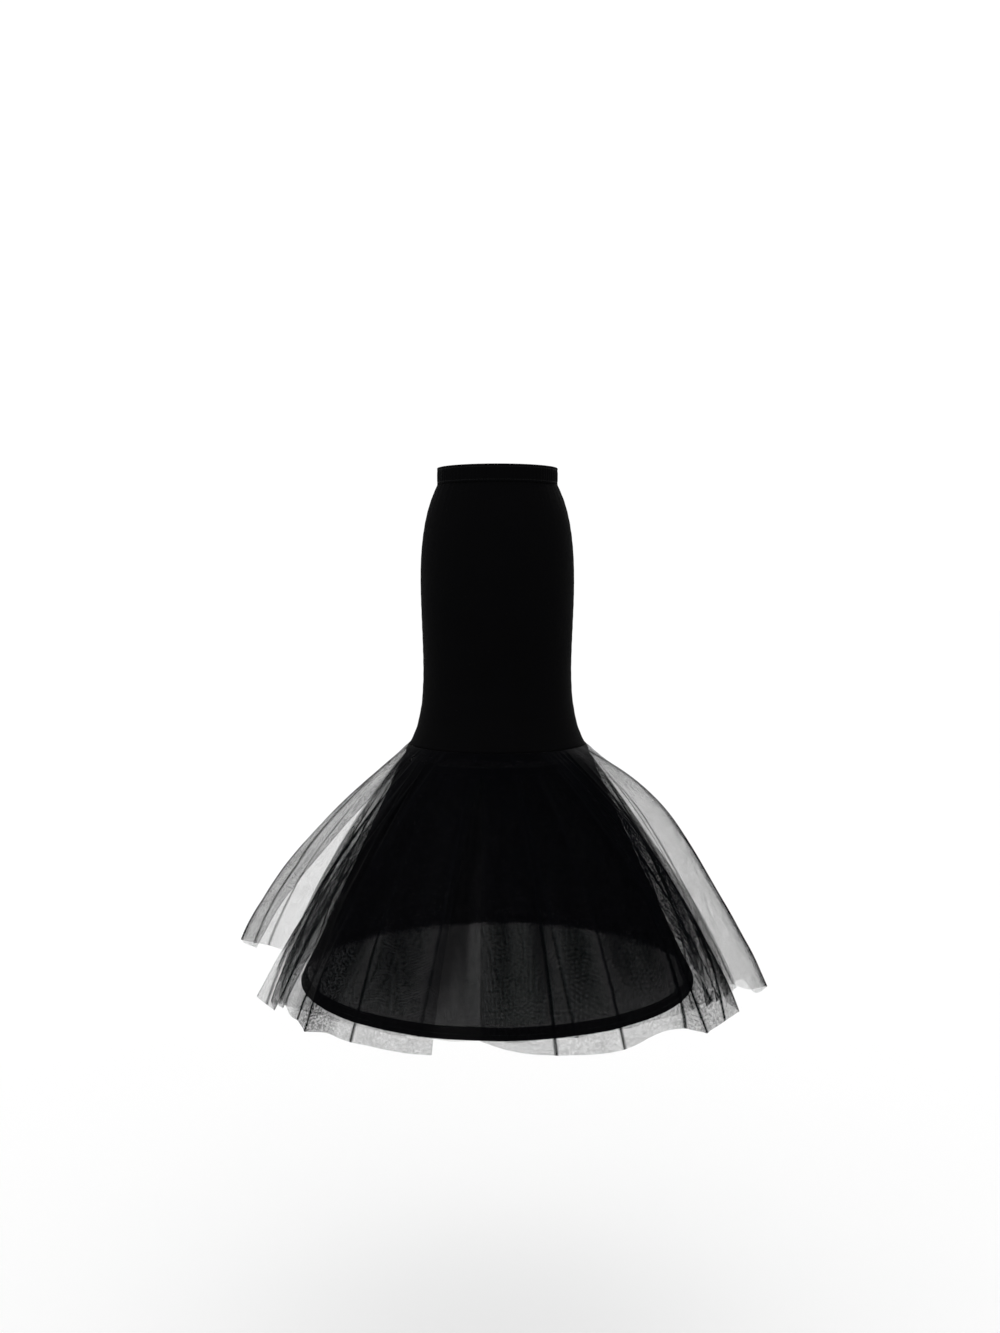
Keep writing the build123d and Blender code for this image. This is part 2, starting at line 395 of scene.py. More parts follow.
@dataclass(frozen=True)
class Net:
    """Black tulle: a fine six-sided net, uneven in places and denser at its creases.

    pitch is from one hole to the next, and thread is the yarn's width as a share of it.
    uneven, patchy, creased and bunched are how far the yarns look thicker, times their
    width: in small flecks, in broad patches, at a crease, and where the net is bunched,
    which shows as specks. The sizes are those of the flecks, patches and specks. A
    speck is where the noise is over speck_from, and speck_sharp is how fast it grows.
    """

    name: str = "black_tulle"
    pitch: float = 1.7 * MM
    thread: float = 0.16
    uneven: float = 0.7
    fleck_size: float = 5.5 * MM
    patchy: float = 0.35
    patch_size: float = 30 * MM
    creased: float = 3.6
    bunched: float = 3.4
    speck_size: float = 4.5 * MM
    speck_from: float = 0.42
    speck_sharp: float = 6.0
    speck_most: float = 1.2
    speck_share: float = 0.65
    rough: float = 0.55
    colour: Colour = (0.0004, 0.0005, 0.0009)
    gloss: float = 0.014

    def material(self) -> bpy.types.Material:
        """Builds the finish.

        Returns:
            The material, with its nodes.
        """
        shader = Shader(self.name)
        fleck = shader.noise(self.fleck_size, 3.0, flat=True) - 0.5
        patch = shader.noise(self.patch_size, 2.0, flat=True) - 0.5
        uneven = fleck * (2 * self.uneven) + patch * (2 * self.patchy)
        creased = shader.mark("crease") * self.creased
        speck = shader.noise(self.speck_size, 1.0, flat=True) - self.speck_from
        speck = (speck * self.speck_sharp).larger(0.0).smaller(self.speck_most)
        crowd = speck * self.speck_share + (1 - self.speck_share)
        bunched = shader.mark("bunch") * crowd * self.bunched
        thick = (1 + uneven + creased + bunched) * (self.thread / 2)
        return shader.finish(
            Base_Color=(*self.colour, 1.0),
            Roughness=self.rough,
            Specular_IOR_Level=self.gloss,
            Alpha=self._from_hole(shader) + thick > 0.5,
        )

    def _from_hole(self, shader: Shader) -> Value:
        """How far a point is from the middle of the nearest hole.

        Args:
            shader: where the nodes go.

        Returns:
            The way to it, where 0.5 is the middle of a yarn.
        """
        across, down = shader.place()
        tall = math.sqrt(3)  # one repeat of the net is this much longer than wide
        near = []
        for shift in (0.0, 0.5):
            side = abs((across / self.pitch + shift).fraction() - 0.5)
            rise = abs((down / (self.pitch * tall) + shift).fraction() - 0.5) * tall
            near.append(side.larger(side * 0.5 + rise * (tall / 2)))
        return near[0].smaller(near[1])


@dataclass(frozen=True)
class Webbing:
    """Ribbed narrow tape or elastic."""

    name: str
    rib: float = 1.6 * MM
    relief: float = 0.2 * MM
    fuzz_size: float = 2 * MM
    rough: tuple[float, float] = (0.65, 0.85)
    gloss: float = 0.016
    dark: Colour = (0.0003, 0.0003, 0.0004)
    light: Colour = (0.0013, 0.0013, 0.0015)

    def material(self) -> bpy.types.Material:
        """Builds the finish.

        Returns:
            The material, with its nodes.
        """
        shader = Shader(self.name)
        where = shader.node("ShaderNodeTexCoord").outputs["Object"]
        height = Value(shader, shader.node("ShaderNodeSeparateXYZ", inputs={0: where}).outputs[2])
        ribs = (height / self.rib).wave() * 0.5 + 0.5
        fuzz = shader.noise(self.fuzz_size, 3.0)
        return shader.finish(
            Base_Color=shader.blend(ribs.mixed(fuzz, 0.6), self.dark, self.light),
            Roughness=fuzz.within(self.rough),
            Specular_IOR_Level=self.gloss,
            Normal=shader.bump(ribs, self.relief),
        )


@dataclass(frozen=True)
class Thread:
    """Twisted black polyester thread."""

    name: str = "black_thread"
    twist: float = 0.8 * MM
    rough: tuple[float, float] = (0.35, 0.55)
    gloss: float = 0.1
    dark: Colour = (0.001, 0.001, 0.0011)
    light: Colour = (0.005, 0.005, 0.0055)

    def material(self) -> bpy.types.Material:
        """Builds the finish.

        Returns:
            The material, with its nodes.
        """
        shader = Shader(self.name)
        twist = shader.noise(self.twist, 1.0)
        return shader.finish(
            Base_Color=shader.blend(twist, self.dark, self.light),
            Roughness=twist.within(self.rough),
            Specular_IOR_Level=self.gloss,
        )


@dataclass(frozen=True)
class SpringSteel:
    """Flat spring steel with fine rolling marks and a few dull spots."""

    name: str = "spring_steel"
    mark_size: float = 1.5 * MM
    spot_size: float = 20 * MM
    relief: float = 0.02 * MM
    rough: tuple[float, float] = (0.25, 0.5)
    dark: Colour = (0.16, 0.16, 0.17)
    light: Colour = (0.42, 0.42, 0.44)

    def material(self) -> bpy.types.Material:
        """Builds the finish.

        Returns:
            The material, with its nodes.
        """
        shader = Shader(self.name)
        marks = shader.noise(self.mark_size, 2.0)
        spots = shader.noise(self.spot_size, 5.0)
        return shader.finish(
            Base_Color=shader.blend(marks.mixed(spots, 0.4), self.dark, self.light),
            Metallic=1.0,
            Roughness=spots.within(self.rough),
            Normal=shader.bump(marks, self.relief),
        )


# ------------------------------------------------------------------ cloth meshes


def spread(values: np.ndarray, places: float) -> np.ndarray:
    """Smooths rows of values along their second axis, and keeps their ends.

    Args:
        values: an array of rows by columns, by any further axes.
        places: the smoothing's spread, in columns.

    Returns:
        The smoothed array.
    """
    reach = max(1, int(3 * places))
    weights = np.exp(-0.5 * (np.arange(-reach, reach + 1) / places) ** 2)
    weights /= weights.sum()
    first, last = values[:, :1], values[:, -1:]
    before = 2 * first - values[:, reach:0:-1]
    after = 2 * last - values[:, -2 : -2 - reach : -1]
    padded = np.concatenate([before, values, after], axis=1)
    count = values.shape[1]
    return sum(w * padded[:, k : k + count] for k, w in enumerate(weights))


def ripples(
    rng: np.random.Generator, across: np.ndarray, down: np.ndarray, wave: float, count: int = 7
) -> np.ndarray:
    """Smooth unevenness, about -1 to 1: a sum of slanted waves.

    Args:
        rng: where the random numbers come from.
        across, down: places on the cloth, in metres.
        wave: the usual distance between crests, in metres.
        count: how many waves are added.

    Returns:
        One number for each place.
    """
    total = np.zeros(np.broadcast(across, down).shape)
    for _ in range(count):
        length = wave * rng.uniform(0.7, 1.6)
        slant = rng.uniform(-0.5, 0.5)
        phase = rng.uniform(0, 2 * math.pi)
        total = total + np.sin(2 * math.pi * (across + slant * down) / length + phase)
    return total / math.sqrt(count)


def polar(azimuth: np.ndarray, radius: np.ndarray, height: np.ndarray) -> np.ndarray:
    """Points round the axis.

    Args:
        azimuth: degrees from the front.
        radius, height: metres.

    Returns:
        One point for each place, with x, y and z along the last axis.
    """
    turn = np.radians(azimuth)
    points = np.broadcast_arrays(radius * np.sin(turn), -radius * np.cos(turn), height)
    return np.stack(points, axis=-1)


def keep_outside(radius: np.ndarray, least: np.ndarray, soft: float) -> np.ndarray:
    """Pushes radii gently past a least radius, and keeps their order."""
    return least + soft * np.logaddexp(0, (radius - least) / soft)


def read_table(table: np.ndarray, row: np.ndarray, column: np.ndarray) -> np.ndarray:
    """Reads a table between its rows and columns. The columns go all the way round.

    Args:
        table: rows by columns.
        row, column: where to read, in rows and columns.

    Returns:
        One number for each place.
    """
    row, column = np.broadcast_arrays(row, column)
    low = np.clip(row.astype(int), 0, len(table) - 2)
    left = np.floor(column).astype(int)
    down, right = np.clip(row - low, 0, 1), column - left
    count = table.shape[1]
    near, far = left % count, (left + 1) % count
    first = table[low, near] * (1 - right) + table[low, far] * right
    second = table[low + 1, near] * (1 - right) + table[low + 1, far] * right
    return first * (1 - down) + second * down


class CadShape:
    """The outer wall of some CAD nodes, as a radius at each azimuth and height."""

    AZIMUTH_STEP = 2.0
    HEIGHT_STEP = 6 * MM
    INSET = 0.4 * MM  # how far from the shape's ends the first and last rows are
    OFF_SEAM = 0.01  # degrees that keep a ray clear of the seams between nodes
    FAR = 2.0

    def __init__(self, *names: str) -> None:
        """Measures the nodes' outer wall.

        Args:
            names: the CAD nodes, which together go all round the axis.
        """
        boxes = [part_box(name) for name in names]
        self.top = max(high.z for _, high in boxes)
        self.bottom = min(low.z for low, _ in boxes)
        rows = max(2, int((self.top - self.bottom) / self.HEIGHT_STEP))
        self.heights = np.linspace(self.bottom + self.INSET, self.top - self.INSET, rows)
        self.azimuths = np.arange(-180.0, 180.0 + self.AZIMUTH_STEP, self.AZIMUTH_STEP)
        trees = [self._tree(name) for name in names]
        self.table = np.array(
            [[self._cast(trees, turn, height) for turn in self.azimuths] for height in self.heights]
        )

    def _tree(self, name: str) -> BVHTree:
        """Makes a search tree.

        Args:
            name: the CAD node.

        Returns:
            A tree of the node's faces.
        """
        mesh = bpy.data.objects[name].data
        corners = [vertex.co for vertex in mesh.vertices]
        return BVHTree.FromPolygons(corners, [tuple(face.vertices) for face in mesh.polygons])

    def _cast(self, trees: Sequence[BVHTree], azimuth: float, height: float) -> float:
        """Finds the outermost wall at one place.

        Args:
            trees: the nodes' search trees.
            azimuth, height: the place.

        Returns:
            The wall's radius there.
        """
        turn = math.radians(azimuth + self.OFF_SEAM)
        out = Vector((math.sin(turn), -math.cos(turn), 0))
        start = out * self.FAR + Vector((0, 0, height))
        hits = [tree.ray_cast(start, -out)[0] for tree in trees]
        return max(math.hypot(hit.x, hit.y) for hit in hits if hit is not None)

    def radius(self, azimuth: np.ndarray, height: np.ndarray) -> np.ndarray:
        """Reads the wall between the measured places.

        Args:
            azimuth, height: the places. Past its ends, the shape goes straight on.

        Returns:
            The wall's radius at each place.
        """
        column = (np.asarray(azimuth, float) + 180) % 360 / self.AZIMUTH_STEP
        step = self.heights[1] - self.heights[0]
        row = np.clip((height - self.heights[0]) / step, 0, len(self.heights) - 1.001)
        return read_table(self.table, row, column)


@dataclass
class Cloth:
    """A sheet as a grid of points, with each point's place on the flat cloth.

    points is rows by columns by 3, from the top edge down. across and down are the
    places on the flat cloth in metres, and marks are further numbers at each point.
    """

    name: str
    points: np.ndarray
    across: np.ndarray
    down: np.ndarray
    marks: dict[str, np.ndarray] = field(default_factory=dict)

    def object(self, thickness: float = 0.0, outwards: float = -1.0) -> bpy.types.Object:
        """Makes the sheet's mesh object.

        Args:
            thickness: the cloth's thickness, or 0 for a single surface.
            outwards: 1 to thicken away from the axis, and -1 towards it.

        Returns:
            The object, in the scene.
        """
        rows, columns = self.points.shape[:2]
        index = np.arange(rows * columns).reshape(rows, columns)
        corners = (index[:-1, :-1], index[1:, :-1], index[1:, 1:], index[:-1, 1:])
        faces = np.stack([corner.ravel() for corner in corners], axis=-1)
        mesh = bpy.data.meshes.new(self.name)
        mesh.from_pydata(self.points.reshape(-1, 3).tolist(), [], faces.tolist())
        places = np.stack(
            [np.broadcast_to(a, (rows, columns)).ravel() for a in (self.across, self.down)], axis=-1
        )
        uv = mesh.uv_layers.new(name=CLOTH_MAP)
        uv.data.foreach_set("uv", places[faces.ravel()].astype(np.float32).ravel())
        for name, numbers in self.marks.items():
            layer = mesh.attributes.new(name, "FLOAT", "POINT")
            layer.data.foreach_set("value", numbers.astype(np.float32).ravel())
        mesh.shade_smooth()
        made = bpy.data.objects.new(self.name, mesh)
        bpy.context.scene.collection.objects.link(made)
        if thickness:
            solid = made.modifiers.new("cloth_thickness", "SOLIDIFY")
            solid.thickness = thickness
            solid.offset = outwards
        return made


def sew(name: str, path: np.ndarray, out: np.ndarray, pitch: float = 3.2 * MM) -> bpy.types.Object:
    """A row of raised stitches.

    Args:
        name: the piece's name.
        path: the seam's points, close together.
        out: the direction away from the cloth at each point.
        pitch: from one stitch to the next.

    Returns:
        The row as one mesh object.
    """
    length, half_width, half_height = 0.78 * pitch, 0.32 * MM, 0.26 * MM
    raised = 0.4  # how far the middle stands off the cloth, in half heights
    run = np.concatenate([[0.0], np.cumsum(np.linalg.norm(np.diff(path, axis=0), axis=1))])
    at = np.arange(pitch / 2, run[-1], pitch)
    centre = np.stack([np.interp(at, run, path[:, k]) for k in range(3)], axis=-1)
    lift = np.stack([np.interp(at, run, out[:, k]) for k in range(3)], axis=-1)
    along = np.stack([np.gradient(centre[:, k]) for k in range(3)], axis=-1)
    along /= np.linalg.norm(along, axis=1, keepdims=True)
    lift /= np.linalg.norm(lift, axis=1, keepdims=True)
    side = np.cross(along, lift)
    rings = ((-0.5, 0.35), (-0.25, 1.0), (0.25, 1.0), (0.5, 0.35))
    sides = 6
    points = []
    for place, size in rings:
        for corner in range(sides):
            turn = 2 * math.pi * corner / sides
            points.append(
                centre
                + along * (length * place)
                + side * (half_width * size * math.cos(turn))
                + lift * (half_height * (size * math.sin(turn) + raised))
            )
    block = np.stack(points, axis=1)
    faces = []
    for ring in range(len(rings) - 1):
        for corner in range(sides):
            following = (corner + 1) % sides
            low, high = ring * sides, (ring + 1) * sides
            faces.append((low + corner, low + following, high + following, high + corner))
    count = len(rings) * sides
    ends = [tuple(reversed(range(sides))), tuple(range(count - sides, count))]
    every = [
        tuple(stitch * count + corner for corner in face)
        for stitch in range(len(at))
        for face in (*faces, *ends)
    ]
    mesh = bpy.data.meshes.new(name)
    mesh.from_pydata(block.reshape(-1, 3).tolist(), [], every)
    mesh.shade_smooth()
    made = bpy.data.objects.new(name, mesh)
    bpy.context.scene.collection.objects.link(made)
    return made


def settle(
    piece: bpy.types.Object, material: bpy.types.Material
) -> bpy.types.Object:
    """Gives a new piece its material and its body, and reports it.

    Args:
        piece: the piece.
        material: its finish.

    Returns:
        The piece.
    """
    piece.data.materials.clear()
    piece.data.materials.append(material)
    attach(piece, BODY)
    log.info("%s: %d faces", piece.name, len(piece.data.polygons))
    return piece


def settle_node(name: str, material: bpy.types.Material) -> None:
    """Gives a CAD node that stays a material of its own, and reports it.

    Args:
        name: the CAD node.
        material: its finish.
    """
    node = bpy.data.objects[name]
    node.data.materials.clear()
    node.data.materials.append(material)
    log.info("%s: kept, with %s", name, material.name)


# ------------------------------------------------------------------ sub-assemblies


@dataclass
class Wardrobe:
    """The finishes, each made once and shared by the pieces that wear it."""

    knit: bpy.types.Material = field(default_factory=lambda: JerseyKnit().material())
    lining: bpy.types.Material = field(default_factory=lambda: PlainWeave().material())
    casing: bpy.types.Material = field(
        default_factory=lambda: PlainWeave("black_casing", lay=Lay.DOUBLED).material()
    )
    tulle: bpy.types.Material = field(default_factory=lambda: Net().material())
    under_net: bpy.types.Material = field(
        default_factory=lambda: Net("black_under_net", thread=0.24).material()
    )
    tape: bpy.types.Material = field(default_factory=lambda: Webbing("black_tape").material())
    elastic: bpy.types.Material = field(
        default_factory=lambda: Webbing("black_elastic", rib=1.1 * MM).material()
    )
    thread: bpy.types.Material = field(default_factory=lambda: Thread().material())
    steel: bpy.types.Material = field(default_factory=lambda: SpringSteel().material())


@dataclass
class Waistband:
    """The gathered casing of knit round the elastic, with two rows of stitching.

    The stitches hold the gathers down, by held_flat at most, over stitch_reach to each
    side. Inside, the gathers are shallower, by inner_share. They drift to and fro over
    drift_wave degrees, and are deeper and shallower over swell_wave degrees.
    """

    cloth: float = 0.8 * MM
    gathers: int = 92
    gather_depth: float = 1.1 * MM
    inner_share: float = 0.5
    held_flat: float = 0.75
    stitch_reach: float = 2.5 * MM
    drift_wave: float = 25.0
    swell_wave: float = 14.0
    columns: int = 920
    stitch_drops: tuple[float, float] = (5 * MM, 28 * MM)
    cut: tuple[float, float] = (0.86, 0.066)
    seed: int = 5

    def build(self, wardrobe: Wardrobe) -> None:
        """Makes the casing and its stitches, and dresses the elastic.

        Args:
            wardrobe: the finishes.
        """
        low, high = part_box("waist_casing")
        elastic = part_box("waist_elastic")[1].x
        outer = high.x
        inner = outer - 3 * (outer - elastic)  # the elastic lies a third of the way in
        radius, level = self._section(inner, outer, low.z, high.z)
        rng = np.random.default_rng(self.seed)
        azimuth = np.linspace(-180.0, 180.0, self.columns + 1)[None, :]
        drop = high.z - level
        free = np.ones_like(drop)
        for row in self.stitch_drops:
            free = free * (1 - self.held_flat * np.exp(-(((drop - row) / self.stitch_reach) ** 2)))
        drift = 1.05 * ripples(rng, azimuth, np.zeros(1), self.drift_wave)
        gather = 0.5 + 0.5 * np.sin(np.radians(azimuth) * self.gathers + drift)
        gather = gather * (0.75 + 0.25 * ripples(rng, azimuth, drop * 0, self.swell_wave))
        way = np.where(radius > (outer + inner) / 2, 1.0, -self.inner_share)
        radius = radius + way * free * self.gather_depth * gather
        across = np.radians(azimuth) * outer
        down = np.linspace(0, 2 * (high.z - low.z), len(level))[:, None]
        cloth = Cloth("waistband_cloth", polar(azimuth, radius, level), across, down)
        piece = settle(cloth.object(self.cloth), wardrobe.knit)
        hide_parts("waist_casing")
        rows = self._stitches(wardrobe, outer, high.z)
        settle_node("waist_elastic", wardrobe.elastic)

    def _section(
        self, inner: float, outer: float, low: float, high: float
    ) -> tuple[np.ndarray, np.ndarray]:
        """The strip's path: up the inside, over the top and down the outside.

        Args:
            inner, outer: the casing's radii.
            low, high: the heights of its edges.

        Returns:
            The path's radii and its heights, each as a column.
        """
        middle, half = (outer + inner) / 2, (outer - inner) / 2
        side = high - low - half
        steps = np.linspace(0.0, 1.0, 13)
        turn = np.radians(np.linspace(0, 180, 7))[1:-1]
        inside = [(inner, low + side * s) for s in steps]
        over = [(middle - half * math.cos(a), high - half + half * math.sin(a)) for a in turn]
        outside = [(outer, high - half - side * s) for s in steps]
        radius, level = (np.array(x)[:, None] for x in zip(*inside, *over, *outside))
        return radius, level

    def _stitches(self, wardrobe: Wardrobe, outer: float, top: float) -> list[bpy.types.Object]:
        """Sews the rows of stitches, which follow the gathers.

        Args:
            wardrobe: the finishes.
            outer: the casing's outer radius.
            top: the height of its upper edge.

        Returns:
            The rows.
        """
        turns = np.linspace(-180.0, 180.0, 721)
        gather = 0.5 + 0.5 * np.sin(np.radians(turns) * self.gathers)
        lift = outer + (1 - self.held_flat) * self.gather_depth * gather
        rows = []
        for number, drop in enumerate(self.stitch_drops):
            path = polar(turns, lift, np.full_like(turns, top - drop))
            row = sew(f"waist_stitches_{number}", path, polar(turns, 1.0, 0 * turns))
            rows.append(settle(row, wardrobe.thread))
        return rows


@dataclass
class KnitTube:
    """The front and back panels of stretch knit, sewn down both sides.

    The seams sink in by seam_depth, and the knit puckers beside them. drag is how deep
    the faint pulls are, and the other fields are how far they reach and how far apart
    they are.
    """

    thickness: float = 0.9 * MM
    rows: int = 120
    columns: int = 150
    seam_width: float = 2.2 * MM
    seam_depth: float = 0.8 * MM
    pucker_wave: float = 22 * MM
    pucker_reach: float = 12 * MM
    pucker_depth: float = 0.25 * MM
    drag: float = 0.5 * MM
    waist_reach: float = 50 * MM
    waist_wave: float = 16 * MM
    knee_reach: float = 90 * MM
    knee_wave: float = 50 * MM
    slack_wave: float = 140 * MM
    cuts: tuple[tuple[float, float], tuple[float, float]] = ((0.43, 0.50), (0.45, 0.50))
    seed: int = 11

    def build(self, wardrobe: Wardrobe) -> None:
        """Makes both panels.

        Args:
            wardrobe: the finishes.
        """
        names = ("body_front_panel", "body_back_panel")
        shape = CadShape(*names)
        for number, name in enumerate(names):
            rng = np.random.default_rng(self.seed + number)
            middle = 180.0 * number
            azimuth = np.linspace(middle - 90, middle + 90, self.columns + 1)[None, :]
            height = np.linspace(shape.top, shape.bottom, self.rows + 1)[:, None]
            radius = shape.radius(azimuth, height)
            across = np.radians(azimuth - middle) * radius.mean()
            down = shape.top - height
            edge = np.radians(90 - abs(azimuth - middle)) * radius
            radius = radius - self.seam_depth * np.exp(-((edge / self.seam_width) ** 2))
            pucker = np.sin(2 * math.pi * down / self.pucker_wave)
            radius = radius + self.pucker_depth * np.exp(-edge / self.pucker_reach) * pucker
            radius = radius + self._drag_lines(rng, across, down, shape.top - shape.bottom)
            points = polar(azimuth, radius, height)
            cloth = Cloth(name.replace("panel", "cloth"), points, across, down)
            piece = settle(cloth.object(self.thickness), wardrobe.knit)
            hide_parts(name)

    def _drag_lines(
        self, rng: np.random.Generator, across: np.ndarray, down: np.ndarray, length: float
    ) -> np.ndarray:
        """Faint pulls: upright below the gathered waist, and level above the knee.

        Args:
            rng: where the random numbers come from.
            across, down: places on the panel.
            length: the panel's length.

        Returns:
            How far the pulls stand out at each place.
        """
        top = np.exp(-down / self.waist_reach)
        knee = np.exp(-(((length - down) / self.knee_reach) ** 2))
        upright = ripples(rng, across, 0.2 * down, self.waist_wave)
        level = ripples(rng, down + 0.15 * across, across * 0, self.knee_wave)
        slack = ripples(rng, across, down, self.slack_wave)
        return self.drag * (0.9 * top * upright + 0.9 * knee * level + 0.5 * slack)


@dataclass(frozen=True)
class SoftFold:
    """A soft hollow that runs down the flare.

    azimuth and hem_azimuth are where it starts and ends, width is half its width at the
    hem in degrees, and depth is how far it sinks in. start is the share of the way down
    where it begins.
    """

    azimuth: float
    hem_azimuth: float
    width: float
    depth: float
    start: float = 0.0


@dataclass
class Flare:
    """Six gores of thin lining, with soft hollows that run down to the hoop.

    lap is how far the seams between the gores sink in, and allowance is how far a gore
    runs on past its top and its hem. At the top it goes under the tube's edge, by tuck.
    shade_and_density_depth is the depth at which a hollow's painted shade is as dark, and its cloth
    as dense, as it gets.
    """

    thickness: float = 0.5 * MM
    rows: int = 88
    columns: int = 72
    lap: float = 0.6 * MM
    seam_width: float = 1.8 * MM
    allowance: float = 5 * MM
    tuck: float = 6 * MM
    # hollow depth at which the painted shade and the density are full
    shade_and_density_depth: float = 3.8 * MM
    crumple_wave: float = 30 * MM
    crumple_depth: float = 0.35 * MM
    crumple_edge: float = 20 * MM
    slope: float = 1.1
    cut: tuple[float, float] = (0.39, 0.48)
    cut_area: float = 0.136
    seed: int = 23
    front_folds: tuple[SoftFold, ...] = (
        SoftFold(-36, -33, 6.5, 6.0 * MM, 0.18),
        SoftFold(-8, -18, 4.5, 6.0 * MM, 0.05),
        SoftFold(-14, -9, 1.6, 3.2 * MM, 0.45),
        SoftFold(1, 2, 4.0, 4.0 * MM, 0.2),
        SoftFold(14, 13, 3.5, 4.5 * MM, 0.0),
        SoftFold(30, 25, 5.0, 5.0 * MM, 0.1),
        SoftFold(38, 43, 5.5, 6.0 * MM, 0.3),
        SoftFold(-52, -50, 4.5, 5.0 * MM, 0.25),
        SoftFold(-24, -27, 2.2, 2.6 * MM, 0.5),
        SoftFold(56, 55, 7.0, 6.0 * MM, 0.2),
    )

    def folds(self) -> list[SoftFold]:
        """Lists the hollows all round.

        Returns:
            Those at the front, then others at the back.
        """
        rng = np.random.default_rng(self.seed)
        found = list(self.front_folds)
        for azimuth in np.arange(70, 292, 13.0):
            middle = azimuth + rng.uniform(-4, 4)
            found.append(
                SoftFold(
                    middle,
                    middle + rng.uniform(-5, 5),
                    rng.uniform(2.0, 5.5),
                    rng.uniform(2.5, 6.0) * MM,
                    rng.uniform(0.0, 0.4),
                )
            )
        return found

    def build(self, wardrobe: Wardrobe, names: Sequence[str], shape: CadShape) -> None:
        """Makes the six gores.

        Args:
            wardrobe: the finishes.
            names: the gores' CAD nodes, in order of their names.
            shape: the wall that the gores make together.
        """
        every = self.folds()
        for number, name in enumerate(names):
            middle = gore_middle(name)
            azimuth = np.linspace(middle - 30, middle + 30, self.columns + 1)[None, :]
            height = np.linspace(shape.top, shape.bottom, self.rows + 1)[:, None]
            share = (shape.top - height) / (shape.top - shape.bottom)
            radius = shape.radius(azimuth, height)
            across = np.radians(azimuth - middle) * radius
            down = (shape.top - height) * self.slope
            edge = np.radians(30 - abs(azimuth - middle)) * radius
            radius = radius - self.lap * np.exp(-((edge / self.seam_width) ** 2))
            hollows = self._hollows(every, azimuth, share)
            radius = radius - hollows
            rng = np.random.default_rng(self.seed + 1 + number)
            crumple = ripples(rng, across, down, self.crumple_wave) * np.sin(math.pi * share) ** 2
            fade = np.clip(edge / self.crumple_edge, 0, 1)
            radius = radius + self.crumple_depth * crumple * fade
            # the fold mark, from each hollow's depth, sets the lining's painted shade and its
            # density there
            across, down, dark = (
                np.concatenate([a[:1], a[:1], a, a[-1:]])
                for a in (across, down, np.clip(hollows / self.shade_and_density_depth, 0, 1))
            )
            points = self._with_allowances(azimuth, radius, height)
            cloth = Cloth(f"{name}_cloth", points, across, down, {"fold": dark})
            piece = settle(cloth.object(self.thickness), wardrobe.lining)
            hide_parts(name)

    def _with_allowances(
        self, azimuth: np.ndarray, radius: np.ndarray, height: np.ndarray
    ) -> np.ndarray:
        """Adds the seam allowances: one inside the tube, and one inside the hem casing.

        Args:
            azimuth, radius, height: the gore between its seams, from the knee down.

        Returns:
            The gore's points, with two more rows at the top and one at the hem.
        """
        gore = polar(azimuth, radius, height)
        knee = (
            polar(azimuth, radius[:1] - self.tuck, height[:1] + self.allowance),
            polar(azimuth, radius[:1] - self.tuck / 2, height[:1] - self.thickness),
        )
        way = gore[-1:] - gore[-2:-1]
        way /= np.linalg.norm(way, axis=-1, keepdims=True)
        return np.concatenate([*knee, gore, gore[-1:] + self.allowance * way])

    def _hollows(
        self, folds: Sequence[SoftFold], azimuth: np.ndarray, share: np.ndarray
    ) -> np.ndarray:
        """How far the folds sink in.

        Args:
            folds: the hollows.
            azimuth: degrees from the front.
            share: the share of the way down.

        Returns:
            The depth at each place.
        """
        total = np.zeros(np.broadcast(azimuth, share).shape)
        for fold in folds:
            middle = fold.azimuth + (fold.hem_azimuth - fold.azimuth) * share
            off = (azimuth - middle + 180) % 360 - 180
            width = fold.width * (0.55 + 0.45 * share)
            grow = np.clip((share - fold.start) / 0.35, 0, 1)
            grow = grow * grow * (3 - 2 * grow)
            hold = 1 - np.clip((share - 0.62) / 0.36, 0, 1) ** 2
            total = total + fold.depth * grow * hold * np.exp(-((off / width) ** 2))
        return total


def gore_middle(name: str) -> float:
    """The azimuth of a gore's middle, read from its CAD node.

    Args:
        name: the CAD node.

    Returns:
        The azimuth, which is one of six.
    """
    corners = [vertex.co for vertex in bpy.data.objects[name].data.vertices]
    middle = sum(corners, Vector()) / len(corners)
    turn = math.degrees(math.atan2(middle.x, -middle.y))
    return 60.0 * round(turn / 60.0)


